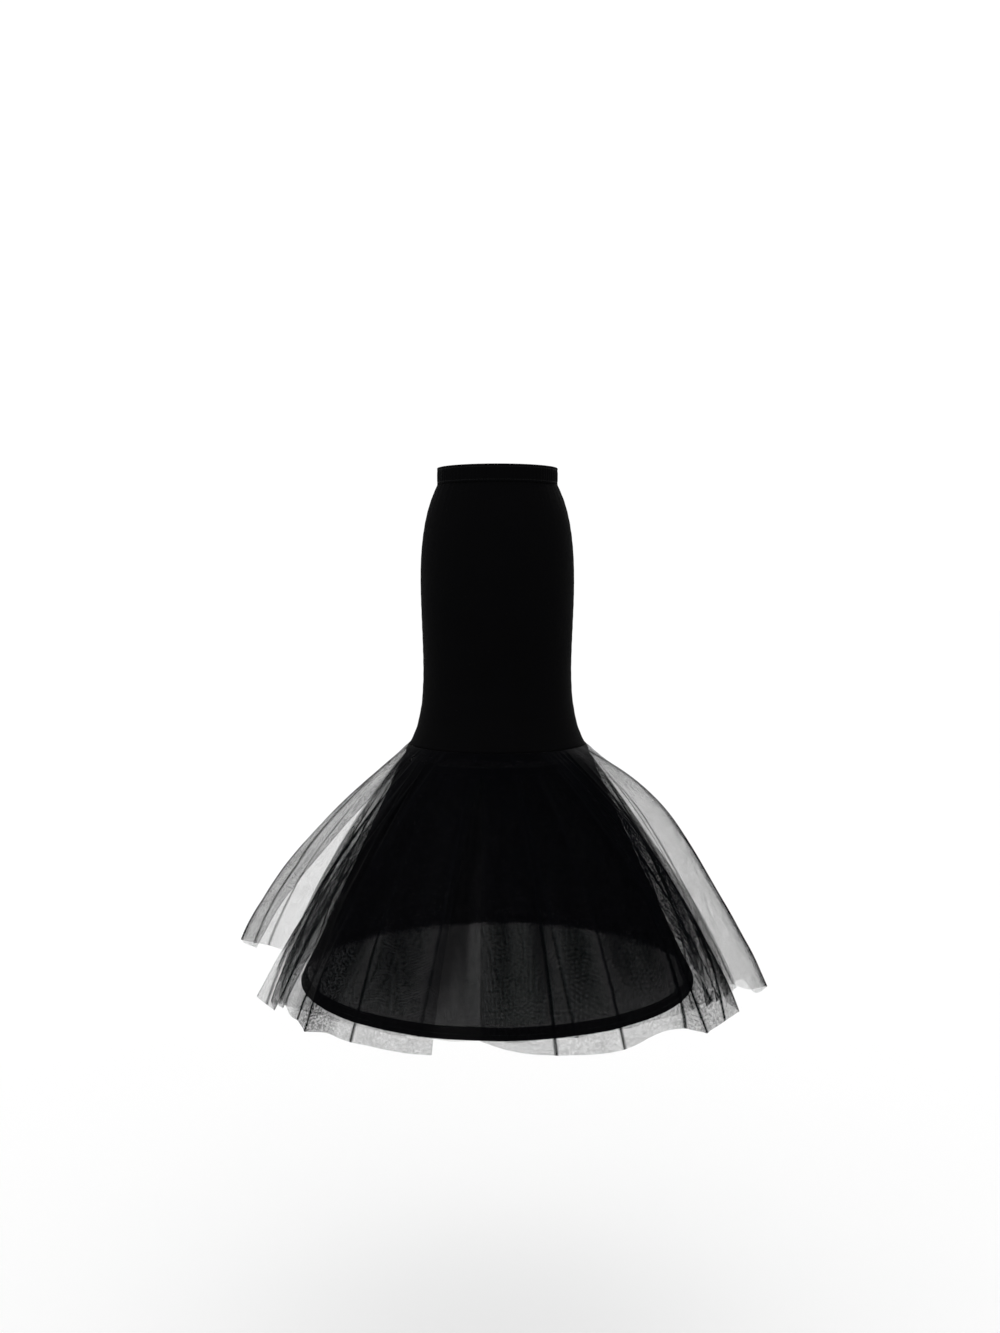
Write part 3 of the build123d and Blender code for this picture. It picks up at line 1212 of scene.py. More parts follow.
@dataclass
class HemCasing:
    """The folded strip round the hoop, with its stitching, and the hoop inside it.

    height and depth are the folded strip's size, round is the radius of its folds, and
    mouth is how far its edges stand off the gores between them. It puckers along its
    upper edge, over pucker_reach. Each row of stitches is at a share of the height, up
    from the middle.
    """

    height: float = 22 * MM
    depth: float = 4.3 * MM
    cloth: float = 0.7 * MM
    round: float = 1.4 * MM
    mouth: float = 0.7 * MM
    columns: int = 840
    pucker_wave: float = 9 * MM
    pucker_depth: float = 0.35 * MM
    pucker_reach: float = 5 * MM
    sway_wave: float = 120 * MM
    sway_out: float = 0.3 * MM
    sway_up: float = 0.25 * MM
    stitch_rows: tuple[float, float] = (0.36, -0.10)
    stitch_pitch: float = 2.8 * MM
    cut: tuple[float, float] = (2.36, 0.053)
    seed: int = 31

    def build(self, wardrobe: Wardrobe, gores: CadShape) -> None:
        """Makes the casing and its stitches, and dresses the hoop.

        Args:
            wardrobe: the finishes.
            gores: the flare's wall, whose slope the casing follows.
        """
        low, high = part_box("hoop_casing")
        knee_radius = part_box("body_front_panel")[1].x
        hem_radius = float(gores.radius(np.array(90.0), np.array(gores.bottom)))
        lean = math.atan2(hem_radius - knee_radius, gores.top - gores.bottom)
        middle = (
            high.x - self.height / 2 * math.sin(lean) - self.depth / 2 * math.cos(lean),
            (high.z + low.z) / 2,
        )
        rng = np.random.default_rng(self.seed)
        azimuth = np.linspace(-180.0, 180.0, self.columns + 1)[None, :]
        across = np.radians(azimuth) * hem_radius
        wave = ripples(rng, across, np.zeros(1), self.pucker_wave)
        sway = ripples(rng, across, np.zeros(1), self.sway_wave)
        out, up = (np.array(x)[:, None] for x in zip(*self._section()))
        near_top = np.exp(-(((up - self.height / 2) / self.pucker_reach) ** 2))
        face = np.sign(out) * np.clip(abs(out) / (0.4 * self.depth), 0, 1)
        out = out + face * self.pucker_depth * (0.35 + near_top) * wave
        out = out + face * self.sway_out * sway
        radius, level = self._lay(middle, lean, out, up)
        points = polar(azimuth, radius, level + self.sway_up * sway)
        steps = (np.diff(places[:, 0], prepend=places[0, 0]) for places in (up, out))
        down = np.cumsum(np.hypot(*steps))[:, None]
        cloth = Cloth("hem_casing_cloth", points, across, down)
        piece = settle(cloth.object(self.cloth, outwards=1.0), wardrobe.casing)
        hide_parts("hoop_casing")
        rows = self._stitches(wardrobe, middle, lean)
        for name in ("hoop_steel", "hoop_ferrule"):
            settle_node(name, wardrobe.steel)

    def _lay(
        self, middle: tuple[float, float], lean: float, out: np.ndarray, up: np.ndarray
    ) -> tuple[np.ndarray, np.ndarray]:
        """Lays places in the strip's section on the slope.

        Args:
            middle: the radius and height of the section's middle.
            lean: the slope's angle from upright, in radians.
            out, up: the places, off the slope and up it.

        Returns:
            Their radii and heights.
        """
        radius = middle[0] + out * math.cos(lean) - up * math.sin(lean)
        return radius, middle[1] + out * math.sin(lean) + up * math.cos(lean)

    def _stitches(
        self, wardrobe: Wardrobe, middle: tuple[float, float], lean: float
    ) -> list[bpy.types.Object]:
        """Sews the rows of stitches on the outer face.

        Args:
            wardrobe: the finishes.
            middle: the radius and height of the section's middle.
            lean: the slope's angle from upright, in radians.

        Returns:
            The rows.
        """
        proud = 0.05 * MM
        turns = np.linspace(-180.0, 180.0, 1441)
        way = polar(turns, math.cos(lean), np.full_like(turns, math.sin(lean)))
        rows = []
        for number, place in enumerate(self.stitch_rows):
            radius, level = self._lay(middle, lean, self.depth / 2 + proud, self.height * place)
            path = polar(turns, radius, np.full_like(turns, level))
            row = sew(f"hem_stitches_{number}", path, way, self.stitch_pitch)
            rows.append(settle(row, wardrobe.thread))
        return rows

    def _section(self) -> list[tuple[float, float]]:
        """The strip's path round the channel, from edge to edge.

        Returns:
            Places on it, off the slope and up it.
        """
        half_out, half_up = self.depth / 2, self.height / 2
        path = [(-self.mouth, half_up)]
        corners = (
            (-half_out + self.round, half_up - self.round, 90),
            (-half_out + self.round, -half_up + self.round, 180),
            (half_out - self.round, -half_up + self.round, 270),
            (half_out - self.round, half_up - self.round, 0),
        )
        for number, (x, y, begin) in enumerate(corners):
            for step in range(5):
                turn = math.radians(begin + 90 * step / 4)
                path.append((x + self.round * math.cos(turn), y + self.round * math.sin(turn)))
            if number in (0, 2):
                side, begun = path[-1]
                reach = (self.height - 2 * self.round) * (-1 if number == 0 else 1)
                path.extend((side, begun + reach * step / 6) for step in range(1, 6))
        path.append((self.mouth, half_up))
        return path


# ------------------------------------------------------------------ tulle


@dataclass(frozen=True)
class Line:
    """A line down a tulle panel, along which it bends.

    azimuth, reach and hem are where the line meets the hem: degrees, radius and height.
    bulge is how far it springs out on the way, and puff how far it does so near the
    top. At mid length it swings aside by tuck degrees and stands off by lift, which
    folds it over its neighbours. crease is the width of a sharp fold there, and
    bunch is how crowded the net is.
    """

    azimuth: float
    reach: float
    hem: float
    bulge: float = 0.45
    tuck: float = 0.0
    lift: float = 0.0
    crease: float = 0.0
    bunch: float = 0.0
    puff: float = 0.0


@dataclass(frozen=True)
class Panel:
    """One flounce: its CAD node, where it is sewn to the tape, and its lines in order."""

    node: str
    tape_from: float
    tape_to: float
    lines: tuple[Line, ...]
    seed: int


def loose_lines(
    first: float, last: float, reach: float, hem: float, wave: float, seed: int
) -> tuple[Line, ...]:
    """Lines for a flounce that hangs in plain flutes, with a tuck here and there.

    Args:
        first, last: azimuths of its two cut edges at the hem.
        reach: the hem's middle radius.
        hem: the hem's height.
        wave: how far the flutes swing in and out.
        seed: makes each flounce differ.

    Returns:
        The flounce's lines.
    """
    rng = np.random.default_rng(seed)
    count = max(4, round((last - first) / 6.5))
    lines = []
    for number in range(count + 1):
        azimuth = first + (last - first) * number / count
        inner = 0 < number < count
        azimuth += rng.uniform(-1.6, 1.6) if inner else 0.0
        side = 1 if number % 2 else -1
        tucked = inner and rng.random() < 0.4
        lines.append(
            Line(
                azimuth,
                reach + side * wave * rng.uniform(0.5, 1.0),
                hem + rng.uniform(-0.006, 0.008),
                rng.uniform(0.35, 0.6),
                side * rng.uniform(2.5, 4.5) if tucked else 0.0,
                side * rng.uniform(2, 6) * MM,
                2.5 * MM * tucked,
            )
        )
    return tuple(lines)


@dataclass
class Hem:
    """A panel's lines, read at every place across its lower edge."""

    lines: tuple[Line, ...]
    step: float

    def __post_init__(self) -> None:
        """Measures the edge from line to line, and spaces the places along it."""
        self.ends = np.array([polar(n.azimuth, n.reach, n.hem) for n in self.lines])
        apart = np.linalg.norm(np.diff(self.ends, axis=0), axis=1)
        self.run = np.concatenate([[0.0], np.cumsum(apart)])
        self.width = float(self.run[-1])
        self.across = np.linspace(0, self.width, round(self.width / self.step) + 1)[None, :]

    def read(self, values: Sequence[float]) -> np.ndarray:
        """Values at the lines, read at every place across."""
        return np.interp(self.across, self.run, values)

    def field(self, name: str) -> np.ndarray:
        """One field of the lines, read at every place across."""
        return self.read([getattr(line, name) for line in self.lines])

    def creased(self, width: Optional[float] = None) -> np.ndarray:
        """Marks the sharp folds.

        Args:
            width: how far a mark reaches, or None for each fold's own width.

        Returns:
            A number at each place across: 1 at a fold, and 0 away from it.
        """
        marked = np.zeros(self.across.shape)
        for place, line in zip(self.run, self.lines):
            if line.crease:
                near = np.exp(-(((self.across - place) / (width or line.crease)) ** 2))
                marked = np.maximum(marked, near)
        return marked


@dataclass
class TulleLayer:
    """A gathered layer of net: its heading tape and its four panels.

    Each panel is cut narrower at the top, to top_share of its hem. step is the mesh's
    size across, and row_power sets its rows closer together at the top. The heading is
    how far off the lining the net is sewn. The net is smoothed across by crease_spread
    columns within crease_reach of a fold, and by soft_spread columns elsewhere.
    """

    tape_node: str
    panels: tuple[Panel, ...]
    drop: float
    top_share: float = 0.6
    tape: float = 1.2 * MM
    heading: float = 0.8 * MM
    step: float = 3 * MM
    rows: int = 78
    row_power: float = 1.2
    gather_wave: float = 17 * MM
    gather_depth: float = 3.6 * MM
    gather_reach: float = 0.085
    flute_wave: float = 62 * MM
    flute_depth: float = 3.0 * MM
    flute_place: float = 0.25
    uneven_wave: float = 110 * MM
    uneven_depth: float = 2.0 * MM
    small_wave: float = 28 * MM
    small_depth: float = 0.5 * MM
    crease_reach: float = 12 * MM
    crease_spread: float = 1.0
    soft_spread: float = 4.5
    clearance: float = 1.8 * MM

    def build(self, wardrobe: Wardrobe, net: bpy.types.Material, inside: "Envelope") -> None:
        """Makes the tape and the panels.

        Args:
            wardrobe: the finishes.
            net: the panels' own finish.
            inside: what the layer hangs over. The layer's own surface is added to it.
        """
        self._tape(wardrobe)
        made = []
        for panel in self.panels:
            cloth, width = self._panel(panel, inside)
            piece = settle(cloth.object(), net)
            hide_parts(panel.node)
            width * self.drop * (1 + self.top_share) / 2
            made.append(cloth.points)
        for points in made:
            inside.cover(points)

    def _tape(self, wardrobe: Wardrobe) -> None:
        """Makes the tape that the layer's gathered edge is sewn to.

        Args:
            wardrobe: the finishes.
        """
        shape = CadShape(self.tape_node)
        azimuth = np.linspace(-180.0, 180.0, 361)[None, :]
        height = np.linspace(shape.top, shape.bottom, 5)[:, None]
        radius = shape.radius(azimuth, height)
        points = polar(azimuth, radius, height)
        across = np.radians(azimuth) * radius.mean()
        cloth = Cloth(f"{self.tape_node}_cloth", points, across, shape.top - height)
        piece = settle(cloth.object(self.tape), wardrobe.tape)
        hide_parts(self.tape_node)

    def _panel(self, panel: Panel, inside: "Envelope") -> tuple[Cloth, float]:
        """Makes one flounce.

        Args:
            panel: the flounce.
            inside: what it hangs over.

        Returns:
            The sheet, and the width that it was cut to.
        """
        rng = np.random.default_rng(panel.seed)
        hem = Hem(panel.lines, self.step)
        share = (np.linspace(0, 1, self.rows + 1) ** self.row_power)[:, None]
        points = self._hang(rng, panel, hem, share, inside)
        down = share * self.drop + 0 * hem.across
        marks = self._marks(rng, hem, share, down, points)
        narrow = self.top_share + (1 - self.top_share) * share
        across = hem.width / 2 + (hem.across - hem.width / 2) * narrow
        return Cloth(f"{panel.node}_cloth", points, across, down, marks), hem.width

    def _hang(
        self,
        rng: np.random.Generator,
        panel: Panel,
        hem: Hem,
        share: np.ndarray,
        inside: "Envelope",
    ) -> np.ndarray:
        """Bends a flounce along its lines, and moves it clear of what is inside.

        Args:
            rng: where the random numbers come from.
            panel: the flounce.
            hem: its lines, as read across it.
            share: the share of the way down of each row.
            inside: what it hangs over.

        Returns:
            The points.
        """
        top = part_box(self.tape_node)[1].z
        azimuth = panel.tape_from + (panel.tape_to - panel.tape_from) * hem.across / hem.width
        start = inside.lining.radius(azimuth, np.array([[top]])) + self.heading
        sewn = polar(azimuth, start, np.full_like(start, top))
        spring = hem.field("bulge") + hem.field("puff") * (1 - share) ** 3
        swell = share + spring * share * (1 - share)
        x = sewn[..., 0] + (hem.read(hem.ends[:, 0]) - sewn[..., 0]) * swell
        y = sewn[..., 1] + (hem.read(hem.ends[:, 1]) - sewn[..., 1]) * swell
        z = top + (hem.read(hem.ends[:, 2]) - top) * share
        middle = 4 * share * (1 - share)
        turn = np.radians(hem.field("tuck") * middle)
        x, y = x * np.cos(turn) - y * np.sin(turn), x * np.sin(turn) + y * np.cos(turn)
        radius = np.hypot(x, y)
        out = hem.field("lift") * middle + self._ruffles(rng, hem.across, share)
        grow = (radius + out) / radius
        points = np.stack([x * grow, y * grow, z + 0 * x], axis=-1)
        sharp = hem.creased(self.crease_reach)[..., None]
        creased, soft = spread(points, self.crease_spread), spread(points, self.soft_spread)
        return inside.clear(sharp * creased + (1 - sharp) * soft, self.clearance, share)

    def _marks(
        self,
        rng: np.random.Generator,
        hem: Hem,
        share: np.ndarray,
        down: np.ndarray,
        points: np.ndarray,
    ) -> dict[str, np.ndarray]:
        """Marks where the net is creased, and where it is bunched.

        Args:
            rng: where the random numbers come from.
            hem: the flounce's lines, as read across it.
            share: the share of the way down of each row.
            down: how far down the cloth each point is.
            points: the hung points.

        Returns:
            The two marks, by name.
        """
        folded = hem.creased() * (0.35 + 0.65 * np.clip((share - 0.05) / 0.2, 0, 1))
        faint = wrinkles(rng, hem.across, down, hem.width, self.drop)
        crowd = hem.field("bunch") * (1 - 0.55 * share**3)
        crowd = crowd + 0.55 * np.exp(-share / 0.1)  # crowded by the gathers at the tape
        return {
            "crease": np.clip(np.maximum(creases(points), 0.8 * folded) + faint, 0, 1),
            "bunch": np.clip(crowd, 0, 1.2),
        }

    def _ruffles(
        self, rng: np.random.Generator, across: np.ndarray, share: np.ndarray
    ) -> np.ndarray:
        """Gathers at the tape, flutes that run out of them, and a slight unevenness.

        Args:
            rng: where the random numbers come from.
            across: places across the hem, in metres.
            share: the share of the way down.

        Returns:
            How far the net stands out at each place.
        """
        wander = 4 * MM * ripples(rng, across, share * 0, 0.09)
        fine = 0.5 + 0.5 * np.sin(2 * math.pi * (across + wander) / self.gather_wave)
        fine = fine * (0.7 + 0.3 * ripples(rng, across, share * 0, 0.04))
        fade = np.exp(-share / self.gather_reach) * np.clip(share / 0.012, 0, 1)
        wide = ripples(rng, across, share * 0, self.flute_wave, 4)
        grow = share / self.flute_place
        down = share * self.drop
        uneven = ripples(rng, across, down, self.uneven_wave) * np.sqrt(share)
        small = ripples(rng, across * 0.6, down, self.small_wave) * np.sqrt(share)
        return (
            self.gather_depth * fine * fade
            + self.flute_depth * wide * grow * np.exp(1 - grow)
            + self.uneven_depth * uneven
            + self.small_depth * small
        )


def creases(points: np.ndarray, gentle: float = 16 * MM, tight: float = 4 * MM) -> np.ndarray:
    """How sharply a sheet bends across each point.

    Args:
        points: rows by columns by 3.
        gentle, tight: the radii of the gentlest and the tightest bends that count.

    Returns:
        A number for each point, from 0 for a gentle bend to 1 for a tight one.
    """
    step = np.diff(points, axis=1)
    length = np.linalg.norm(step, axis=-1, keepdims=True)
    way = step / np.maximum(length, 1e-9)
    cosine = np.clip((way[:, 1:] * way[:, :-1]).sum(-1), -1, 1)
    bend = np.arccos(cosine) / (0.5 * (length[:, 1:, 0] + length[:, :-1, 0]))
    bend = np.pad(bend, ((0, 0), (1, 1)), mode="edge")
    mark = np.clip((bend - 1 / gentle) / (1 / tight - 1 / gentle), 0, 1)
    return spread(mark, 0.8)


def wrinkles(
    rng: np.random.Generator,
    across: np.ndarray,
    down: np.ndarray,
    width: float,
    drop: float,
    each: float = 0.075,
) -> np.ndarray:
    """Faint packing creases: short bent lines that run mostly down the cloth.

    Args:
        rng: where the random numbers come from.
        across, down: places on the cloth, in metres.
        width, drop: the cloth's size.
        each: how far apart they are across the cloth.

    Returns:
        How marked the cloth is at each place, from 0 to about 0.26.
    """
    total = np.zeros(np.broadcast(across, down).shape)
    for _ in range(round(2 * width / each)):
        middle_across, middle_down = rng.uniform(0, width), rng.uniform(0.1, 0.95) * drop
        slant, bend = rng.uniform(-0.7, 0.7), rng.uniform(-6, 6)
        length = rng.uniform(0.03, 0.09)
        strength = rng.uniform(0.06, 0.26)
        along = down - middle_down
        aside = across - middle_across - slant * along - bend * along**2
        near = np.exp(-((aside / (2.4 * MM)) ** 2) - (along / length) ** 2)
        total = np.maximum(total, strength * near)
    return total


class Envelope:
    """The outermost surface so far, which the next layer hangs clear of."""

    AZIMUTH_STEP = 2.0
    HEIGHT_STEP = 8 * MM
    LOWEST = -1.02  # a little below the lowest tulle
    ROUND_HEM = 10 * MM  # how far above and below the casing the tulle keeps clear of it
    SEWN = 0.04  # the share of a sheet, from its top, over which it draws near what is inside
    SOFT = 1.2 * MM

    def __init__(self, lining: CadShape, hem: CadShape) -> None:
        """Starts with the flare and its hem casing.

        Args:
            lining: the flare's wall.
            hem: the hem casing's.
        """
        self.lining = lining
        self.heights = np.arange(self.LOWEST, lining.top + self.HEIGHT_STEP, self.HEIGHT_STEP)
        self.azimuths = np.arange(-180.0, 180.0, self.AZIMUTH_STEP)
        height, azimuth = self.heights[:, None], self.azimuths[None, :]
        self.least = lining.radius(azimuth, height)
        self.least[self.heights < lining.bottom] = 0.0
        above, below = lining.bottom + self.ROUND_HEM, hem.bottom - self.ROUND_HEM
        near = (self.heights < above) & (self.heights > below)
        widest = float(hem.table.max())
        self.least[near] = np.maximum(self.least[near], widest)

    def _places(self, points: np.ndarray) -> tuple[np.ndarray, np.ndarray]:
        """Where points are in the table.

        Args:
            points: the points.

        Returns:
            Their rows and columns, which need not be whole.
        """
        turn = np.degrees(np.arctan2(points[..., 0], -points[..., 1]))
        row = (points[..., 2] - self.heights[0]) / self.HEIGHT_STEP
        return row, (turn + 180) / self.AZIMUTH_STEP

    def cover(self, points: np.ndarray) -> None:
        """Adds a layer's surface, spread over the places beside each point.

        Args:
            points: the layer's points.
        """
        row, column = (np.round(place).astype(int) for place in self._places(points))
        row = np.clip(row, 0, len(self.heights) - 1)
        column = column % len(self.azimuths)
        radius = np.hypot(points[..., 0], points[..., 1])
        reached = np.zeros_like(self.least)
        for up in (-1, 0, 1):
            for side in (-1, 0, 1):
                rows = np.clip(row + up, 0, len(self.heights) - 1)
                np.maximum.at(reached, (rows, (column + side) % len(self.azimuths)), radius)
        self.least = np.maximum(self.least, reached)

    def clear(self, points: np.ndarray, gap: float, share: np.ndarray) -> np.ndarray:
        """Moves points out of what is inside.

        Args:
            points: the sheet's points.
            gap: how far clear they end up.
            share: how far down the sheet each row is, because the top is sewn down.

        Returns:
            The moved points.
        """
        row, column = self._places(points)
        least = read_table(self.least, np.clip(row, 0, None), column)
        radius = np.hypot(points[..., 0], points[..., 1])
        room = gap * np.clip(share / self.SEWN, 0.3, 1)
        moved = keep_outside(radius, least + room, self.SOFT)
        grow = (moved / radius)[..., None]
        return np.concatenate([points[..., :2] * grow, points[..., 2:]], axis=-1)


THIN = 2.5 * MM
WIDE = 9 * MM

UNDER_PANELS = (
    Panel(
        "tulle_under_left",
        -98,
        -9,
        (
            Line(-98, 0.416, -0.985),
            Line(-91, 0.428, -0.986),
            Line(-84, 0.412, -0.988, 0.4, 3, 3 * MM, THIN),
            Line(-78, 0.424, -0.990),
            Line(-71, 0.410, -0.992, 0.4, -3, -2 * MM, THIN),
            Line(-64, 0.420, -0.994),
            Line(-59, 0.414, -0.992, 0.4, 2, 3 * MM, THIN, 0.5),
            Line(-53, 0.424, -0.999, 0.4, 0, 0, THIN, 0.9),
            Line(-47, 0.404, -0.992, bunch=0.5),
            Line(-43, 0.405, -0.996),
            Line(-38.5, 0.400, -0.996, 0.4, 0, 2 * MM, THIN),
            Line(-31, 0.399, -0.996),
            Line(-23, 0.401, -0.995),
            Line(-15.8, 0.397, -0.994),
        ),
        101,
    ),
    Panel(
        "tulle_under_front",
        -9,
        78,
        (
            Line(-4.1, 0.396, -0.966),
            Line(1, 0.397, -0.978),
            Line(8, 0.397, -0.988),
            Line(14.3, 0.399, -0.993, 0.4, 0, 2 * MM, THIN),
            Line(21, 0.398, -0.998),
            Line(27, 0.402, -1.000),
            Line(32.5, 0.400, -1.000, 0.4, 0, 2 * MM, THIN),
            Line(37, 0.402, -0.997),
            Line(42, 0.404, -0.990),
            Line(46, 0.410, -0.984),
            Line(50, 0.424, -0.986, 0.45, 4, 2 * MM, THIN, 0.4),
            Line(55.5, 0.450, -1.003, 0.45, -3, 5 * MM, THIN, 0.5),
            Line(61, 0.462, -0.990, 0.45, 4, 9 * MM, THIN, 0.4),
            Line(66.5, 0.474, -0.984, 0.45, -3, 5 * MM, THIN, 0.3),
            Line(72, 0.440, -0.984),
            Line(79, 0.446, -0.985),
        ),
        102,
    ),
    Panel("tulle_under_right", 78, 170, loose_lines(82, 166, 0.404, -0.988, 7 * MM, 7), 103),
    Panel("tulle_under_back", 170, 262, loose_lines(174, 258, 0.412, -0.990, 8 * MM, 8), 104),
)

TOP_PANELS = (
    Panel(
        "tulle_top_left",
        -127,
        -57,
        (
            Line(-126, 0.446, -0.955),
            Line(-120, 0.462, -0.956),
            Line(-114, 0.447, -0.960),
            Line(-108, 0.452, -0.961),
            Line(-103, 0.442, -0.958),
            Line(-99, 0.462, -0.938, 0.45, 0, 0, THIN),
            Line(-95, 0.480, -0.925, 0.5, 0, 1 * MM, THIN, 0.25),
            Line(-90.5, 0.501, -0.907, 0.5, 0, 2 * MM, WIDE, 0.3),
            Line(-83, 0.479, -0.899, bunch=0.05),
            Line(-78, 0.467, -0.892, 0.43, 0, -3 * MM, 0, 0.3),
            Line(-75, 0.461, -0.889, 0.42, 0, -4 * MM, THIN, 0.3),
        ),
        201,
    ),
    Panel(
        "tulle_top_front",
        -57,
        52,
        (
            Line(-65, 0.474, -0.953, 0.28, 3, 6 * MM, THIN, 0.1),
            Line(-60.5, 0.467, -0.958, 0.28, -3, 10 * MM, THIN, 0.35),
            Line(-56.5, 0.462, -0.966, 0.32, 6, 8 * MM, 0, 0.45),
            Line(-62, 0.458, -0.957, 0.32, -3, 4 * MM, THIN, 0.4),
            Line(-55, 0.452, -0.960, 0.4, 5, 1 * MM, 0, 0.15),
            Line(-59, 0.447, -0.955, 0.4, -2, -2 * MM, THIN, 0.1),
            Line(-51, 0.441, -0.953, 0.45, 2, -3 * MM, THIN),
            Line(-45, 0.434, -0.950),
            Line(-39, 0.428, -0.955),
            Line(-32, 0.416, -0.956),
            Line(-25, 0.428, -0.957),
            Line(-18, 0.414, -0.958, 0.45, 2, 3 * MM, THIN),
            Line(-10, 0.426, -0.958),
            Line(-3, 0.414, -0.958),
            Line(4, 0.424, -0.959),
            Line(11, 0.413, -0.958),
            Line(18, 0.425, -0.957, 0.45, -2, 3 * MM, THIN),
            Line(25, 0.415, -0.956),
            Line(32, 0.428, -0.955),
            Line(39, 0.420, -0.954),
            Line(45, 0.434, -0.952),
            Line(50, 0.440, -0.950, 0.45, 3, -2 * MM, THIN, 0.4),
            Line(58, 0.446, -0.949, 0.45, -3, 3 * MM, THIN, 0.7),
            Line(53, 0.451, -0.949, 0.45, 5, 5 * MM, THIN, 0.8),
            Line(60, 0.455, -0.947, 0.45, -3, 8 * MM, THIN, 0.8),
            Line(56, 0.460, -0.947, 0.45, 4, 11 * MM, THIN, 0.7),
            Line(62, 0.463, -0.944, 0.45, -2, 13 * MM, THIN, 0.6),
            Line(66.5, 0.468, -0.941, 0.45, 0, 4 * MM, 0, 0.4),
        ),
        202,
    ),
    Panel(
        "tulle_top_right",
        49,
        143,
        (
            Line(45, 0.484, -0.893, 0.4, puff=0.8),
            Line(49.5, 0.494, -0.892, 0.42, puff=1.0),
            Line(53.5, 0.503, -0.900, 0.44, 0, 0, THIN, puff=1.2),
            Line(58, 0.515, -0.920, 0.46, puff=1.4),
            Line(62.5, 0.536, -0.919, 0.48, 0, 2 * MM, WIDE, 0.25, 1.55),
            Line(67, 0.502, -0.952, 0.46, puff=1.2),
            Line(73, 0.472, -0.940, 0.45, puff=0.8),
            Line(80, 0.455, -0.966, 0.45, puff=0.5),
            Line(86, 0.445, -0.979, 0.45, puff=0.3),
            Line(94, 0.438, -0.983),
            Line(102, 0.441, -0.980, 0.45, 2, 3 * MM, THIN),
            Line(110, 0.438, -0.973),
            Line(119, 0.452, -0.966),
            Line(127, 0.444, -0.961),
            Line(134, 0.456, -0.957),
            Line(141, 0.450, -0.955),
        ),
        203,
    ),
    Panel("tulle_top_back", 143, 233, loose_lines(146, 230, 0.432, -0.955, 10 * MM, 9), 204),
)


# ------------------------------------------------------------------ studio


@dataclass(frozen=True)
class Softbox:
    """A square lamp: where it hangs, the length of its side and its power in watts."""

    name: str
    place: tuple[float, float, float]
    size: float
    power: float


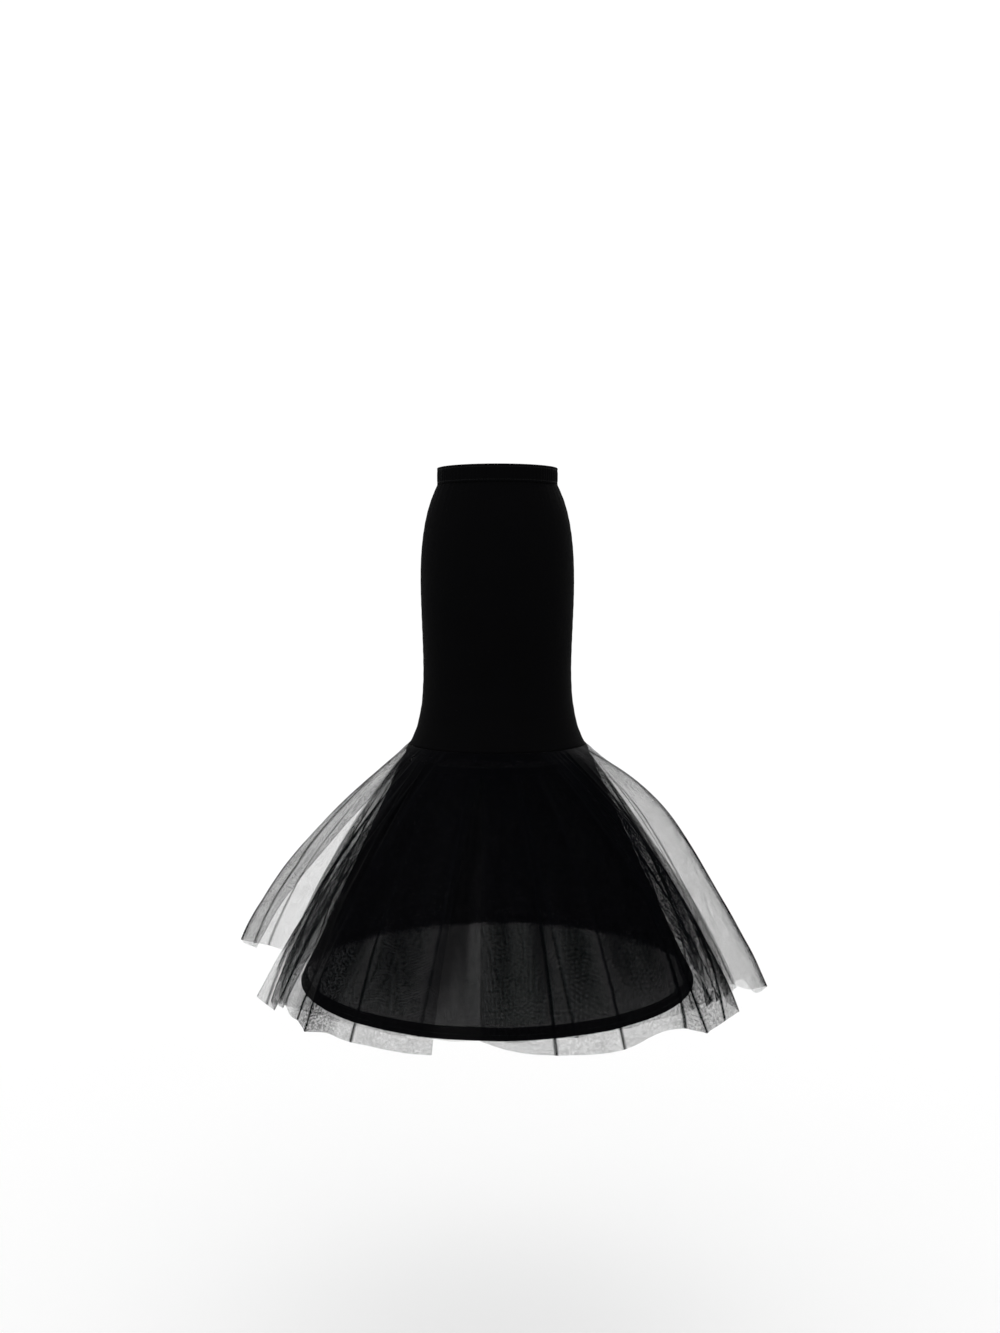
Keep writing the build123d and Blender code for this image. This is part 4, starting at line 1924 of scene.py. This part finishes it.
@dataclass
class Studio:
    """A wide pale floor that meets a white surround, soft lights and the camera.

    The petticoat hangs higher than its wearer would hold it, so the floor is well below
    its hem. The lamps light the pieces alone, and the floor is lit by the surround.
    """

    floor: float = -1.75
    floor_size: float = 120.0
    pale: Colour = (1.0, 1.0, 1.0)
    camera_place: tuple[float, float, float] = (0.005, -2.5, -0.203)
    pitch: float = 3.95
    lens: float = 35.4
    world: float = 1.02
    aim: float = -0.6
    lamps: tuple[Softbox, ...] = (
        Softbox("key_light", (-2.2, -2.2, 1.2), 1.8, 60.0),
        Softbox("fill_light", (2.4, -2.0, 0.6), 1.8, 30.0),
        Softbox("back_light", (0.6, 2.6, 1.8), 2.2, 48.0),
    )

    def build(self) -> None:
        """Makes the floor, the surround and the camera."""
        self._floor()
        world = bpy.data.worlds.new("studio")
        world.use_nodes = True
        background = world.node_tree.nodes["Background"]
        background.inputs[0].default_value = (1.0, 1.0, 1.0, 1.0)
        background.inputs[1].default_value = self.world
        bpy.context.scene.world = world
        self._camera()

    def light(self, stage: Sequence[str] = ("floor",)) -> None:
        """Lights every piece that is there by now.

        Args:
            stage: the objects that the lamps leave alone.
        """
        pieces = bpy.data.collections.new("lit_pieces")
        for piece in bpy.context.scene.objects:
            if piece.type == "MESH" and piece.name not in stage:
                pieces.objects.link(piece)
        for softbox in self.lamps:
            self._lamp(softbox).light_linking.receiver_collection = pieces

    def _floor(self) -> None:
        """Lays the floor: one square sheet of pale paper."""
        half = self.floor_size / 2
        x, y = np.array([[-half, half]]), np.array([[half], [-half]])
        points = np.stack(np.broadcast_arrays(x, y, np.array(self.floor)), axis=-1)
        sheet = Cloth("floor", points, x, y).object()
        shader = Shader("pale_paper")
        low = tuple(0.99 * tone for tone in self.pale)
        sheet.data.materials.append(
            shader.finish(
                Base_Color=shader.blend(shader.noise(0.6, 2.0), low, self.pale),
                Roughness=0.9,
                Specular_IOR_Level=0.0,
            )
        )

    def _lamp(self, softbox: Softbox) -> bpy.types.Object:
        """Adds one lamp, turned to face the flare.

        Args:
            softbox: the lamp's sizes.

        Returns:
            The lamp's object.
        """
        data = bpy.data.lights.new(softbox.name, "AREA")
        data.shape = "SQUARE"
        data.size = softbox.size
        data.energy = softbox.power
        lamp = bpy.data.objects.new(softbox.name, data)
        lamp.location = softbox.place
        aim = Vector((0, 0, self.aim)) - Vector(softbox.place)
        lamp.rotation_euler = aim.to_track_quat("-Z", "Y").to_euler()
        lamp.visible_camera = False
        bpy.context.scene.collection.objects.link(lamp)
        return lamp

    def _camera(self) -> None:
        """Places the camera, a little below the waist and tipped down."""
        data = bpy.data.cameras.new("camera")
        data.lens = self.lens
        data.sensor_width = 36.0
        camera = bpy.data.objects.new("camera", data)
        camera.location = self.camera_place
        camera.rotation_euler = (math.radians(90 - self.pitch), 0, 0)
        bpy.context.scene.collection.objects.link(camera)
        bpy.context.scene.camera = camera


def main() -> None:
    """Builds every sub-assembly in order."""
    logging.basicConfig(level=logging.INFO, format="%(name)s %(message)s")
    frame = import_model()
    scene = bpy.context.scene
    scene.view_settings.view_transform = "Standard"
    scene.cycles.transparent_max_bounces = 40  # the net lies many layers deep
    studio = Studio()
    studio.build()
    wardrobe = Wardrobe()
    Waistband().build(wardrobe)
    KnitTube().build(wardrobe)
    gores = sorted(name for name in frame["nodes"] if name.startswith("flare_gore"))
    flare = CadShape(*gores)
    HemCasing().build(wardrobe, flare)
    Flare().build(wardrobe, gores, flare)
    surface = Envelope(flare, CadShape("hoop_casing"))
    under = TulleLayer("heading_tape_under", UNDER_PANELS, 0.51)
    under.build(wardrobe, wardrobe.under_net, surface)
    top = TulleLayer("heading_tape_top", TOP_PANELS, 0.52)
    top.build(wardrobe, wardrobe.tulle, surface)
    studio.light()


if __name__ == "__main__":
    main()
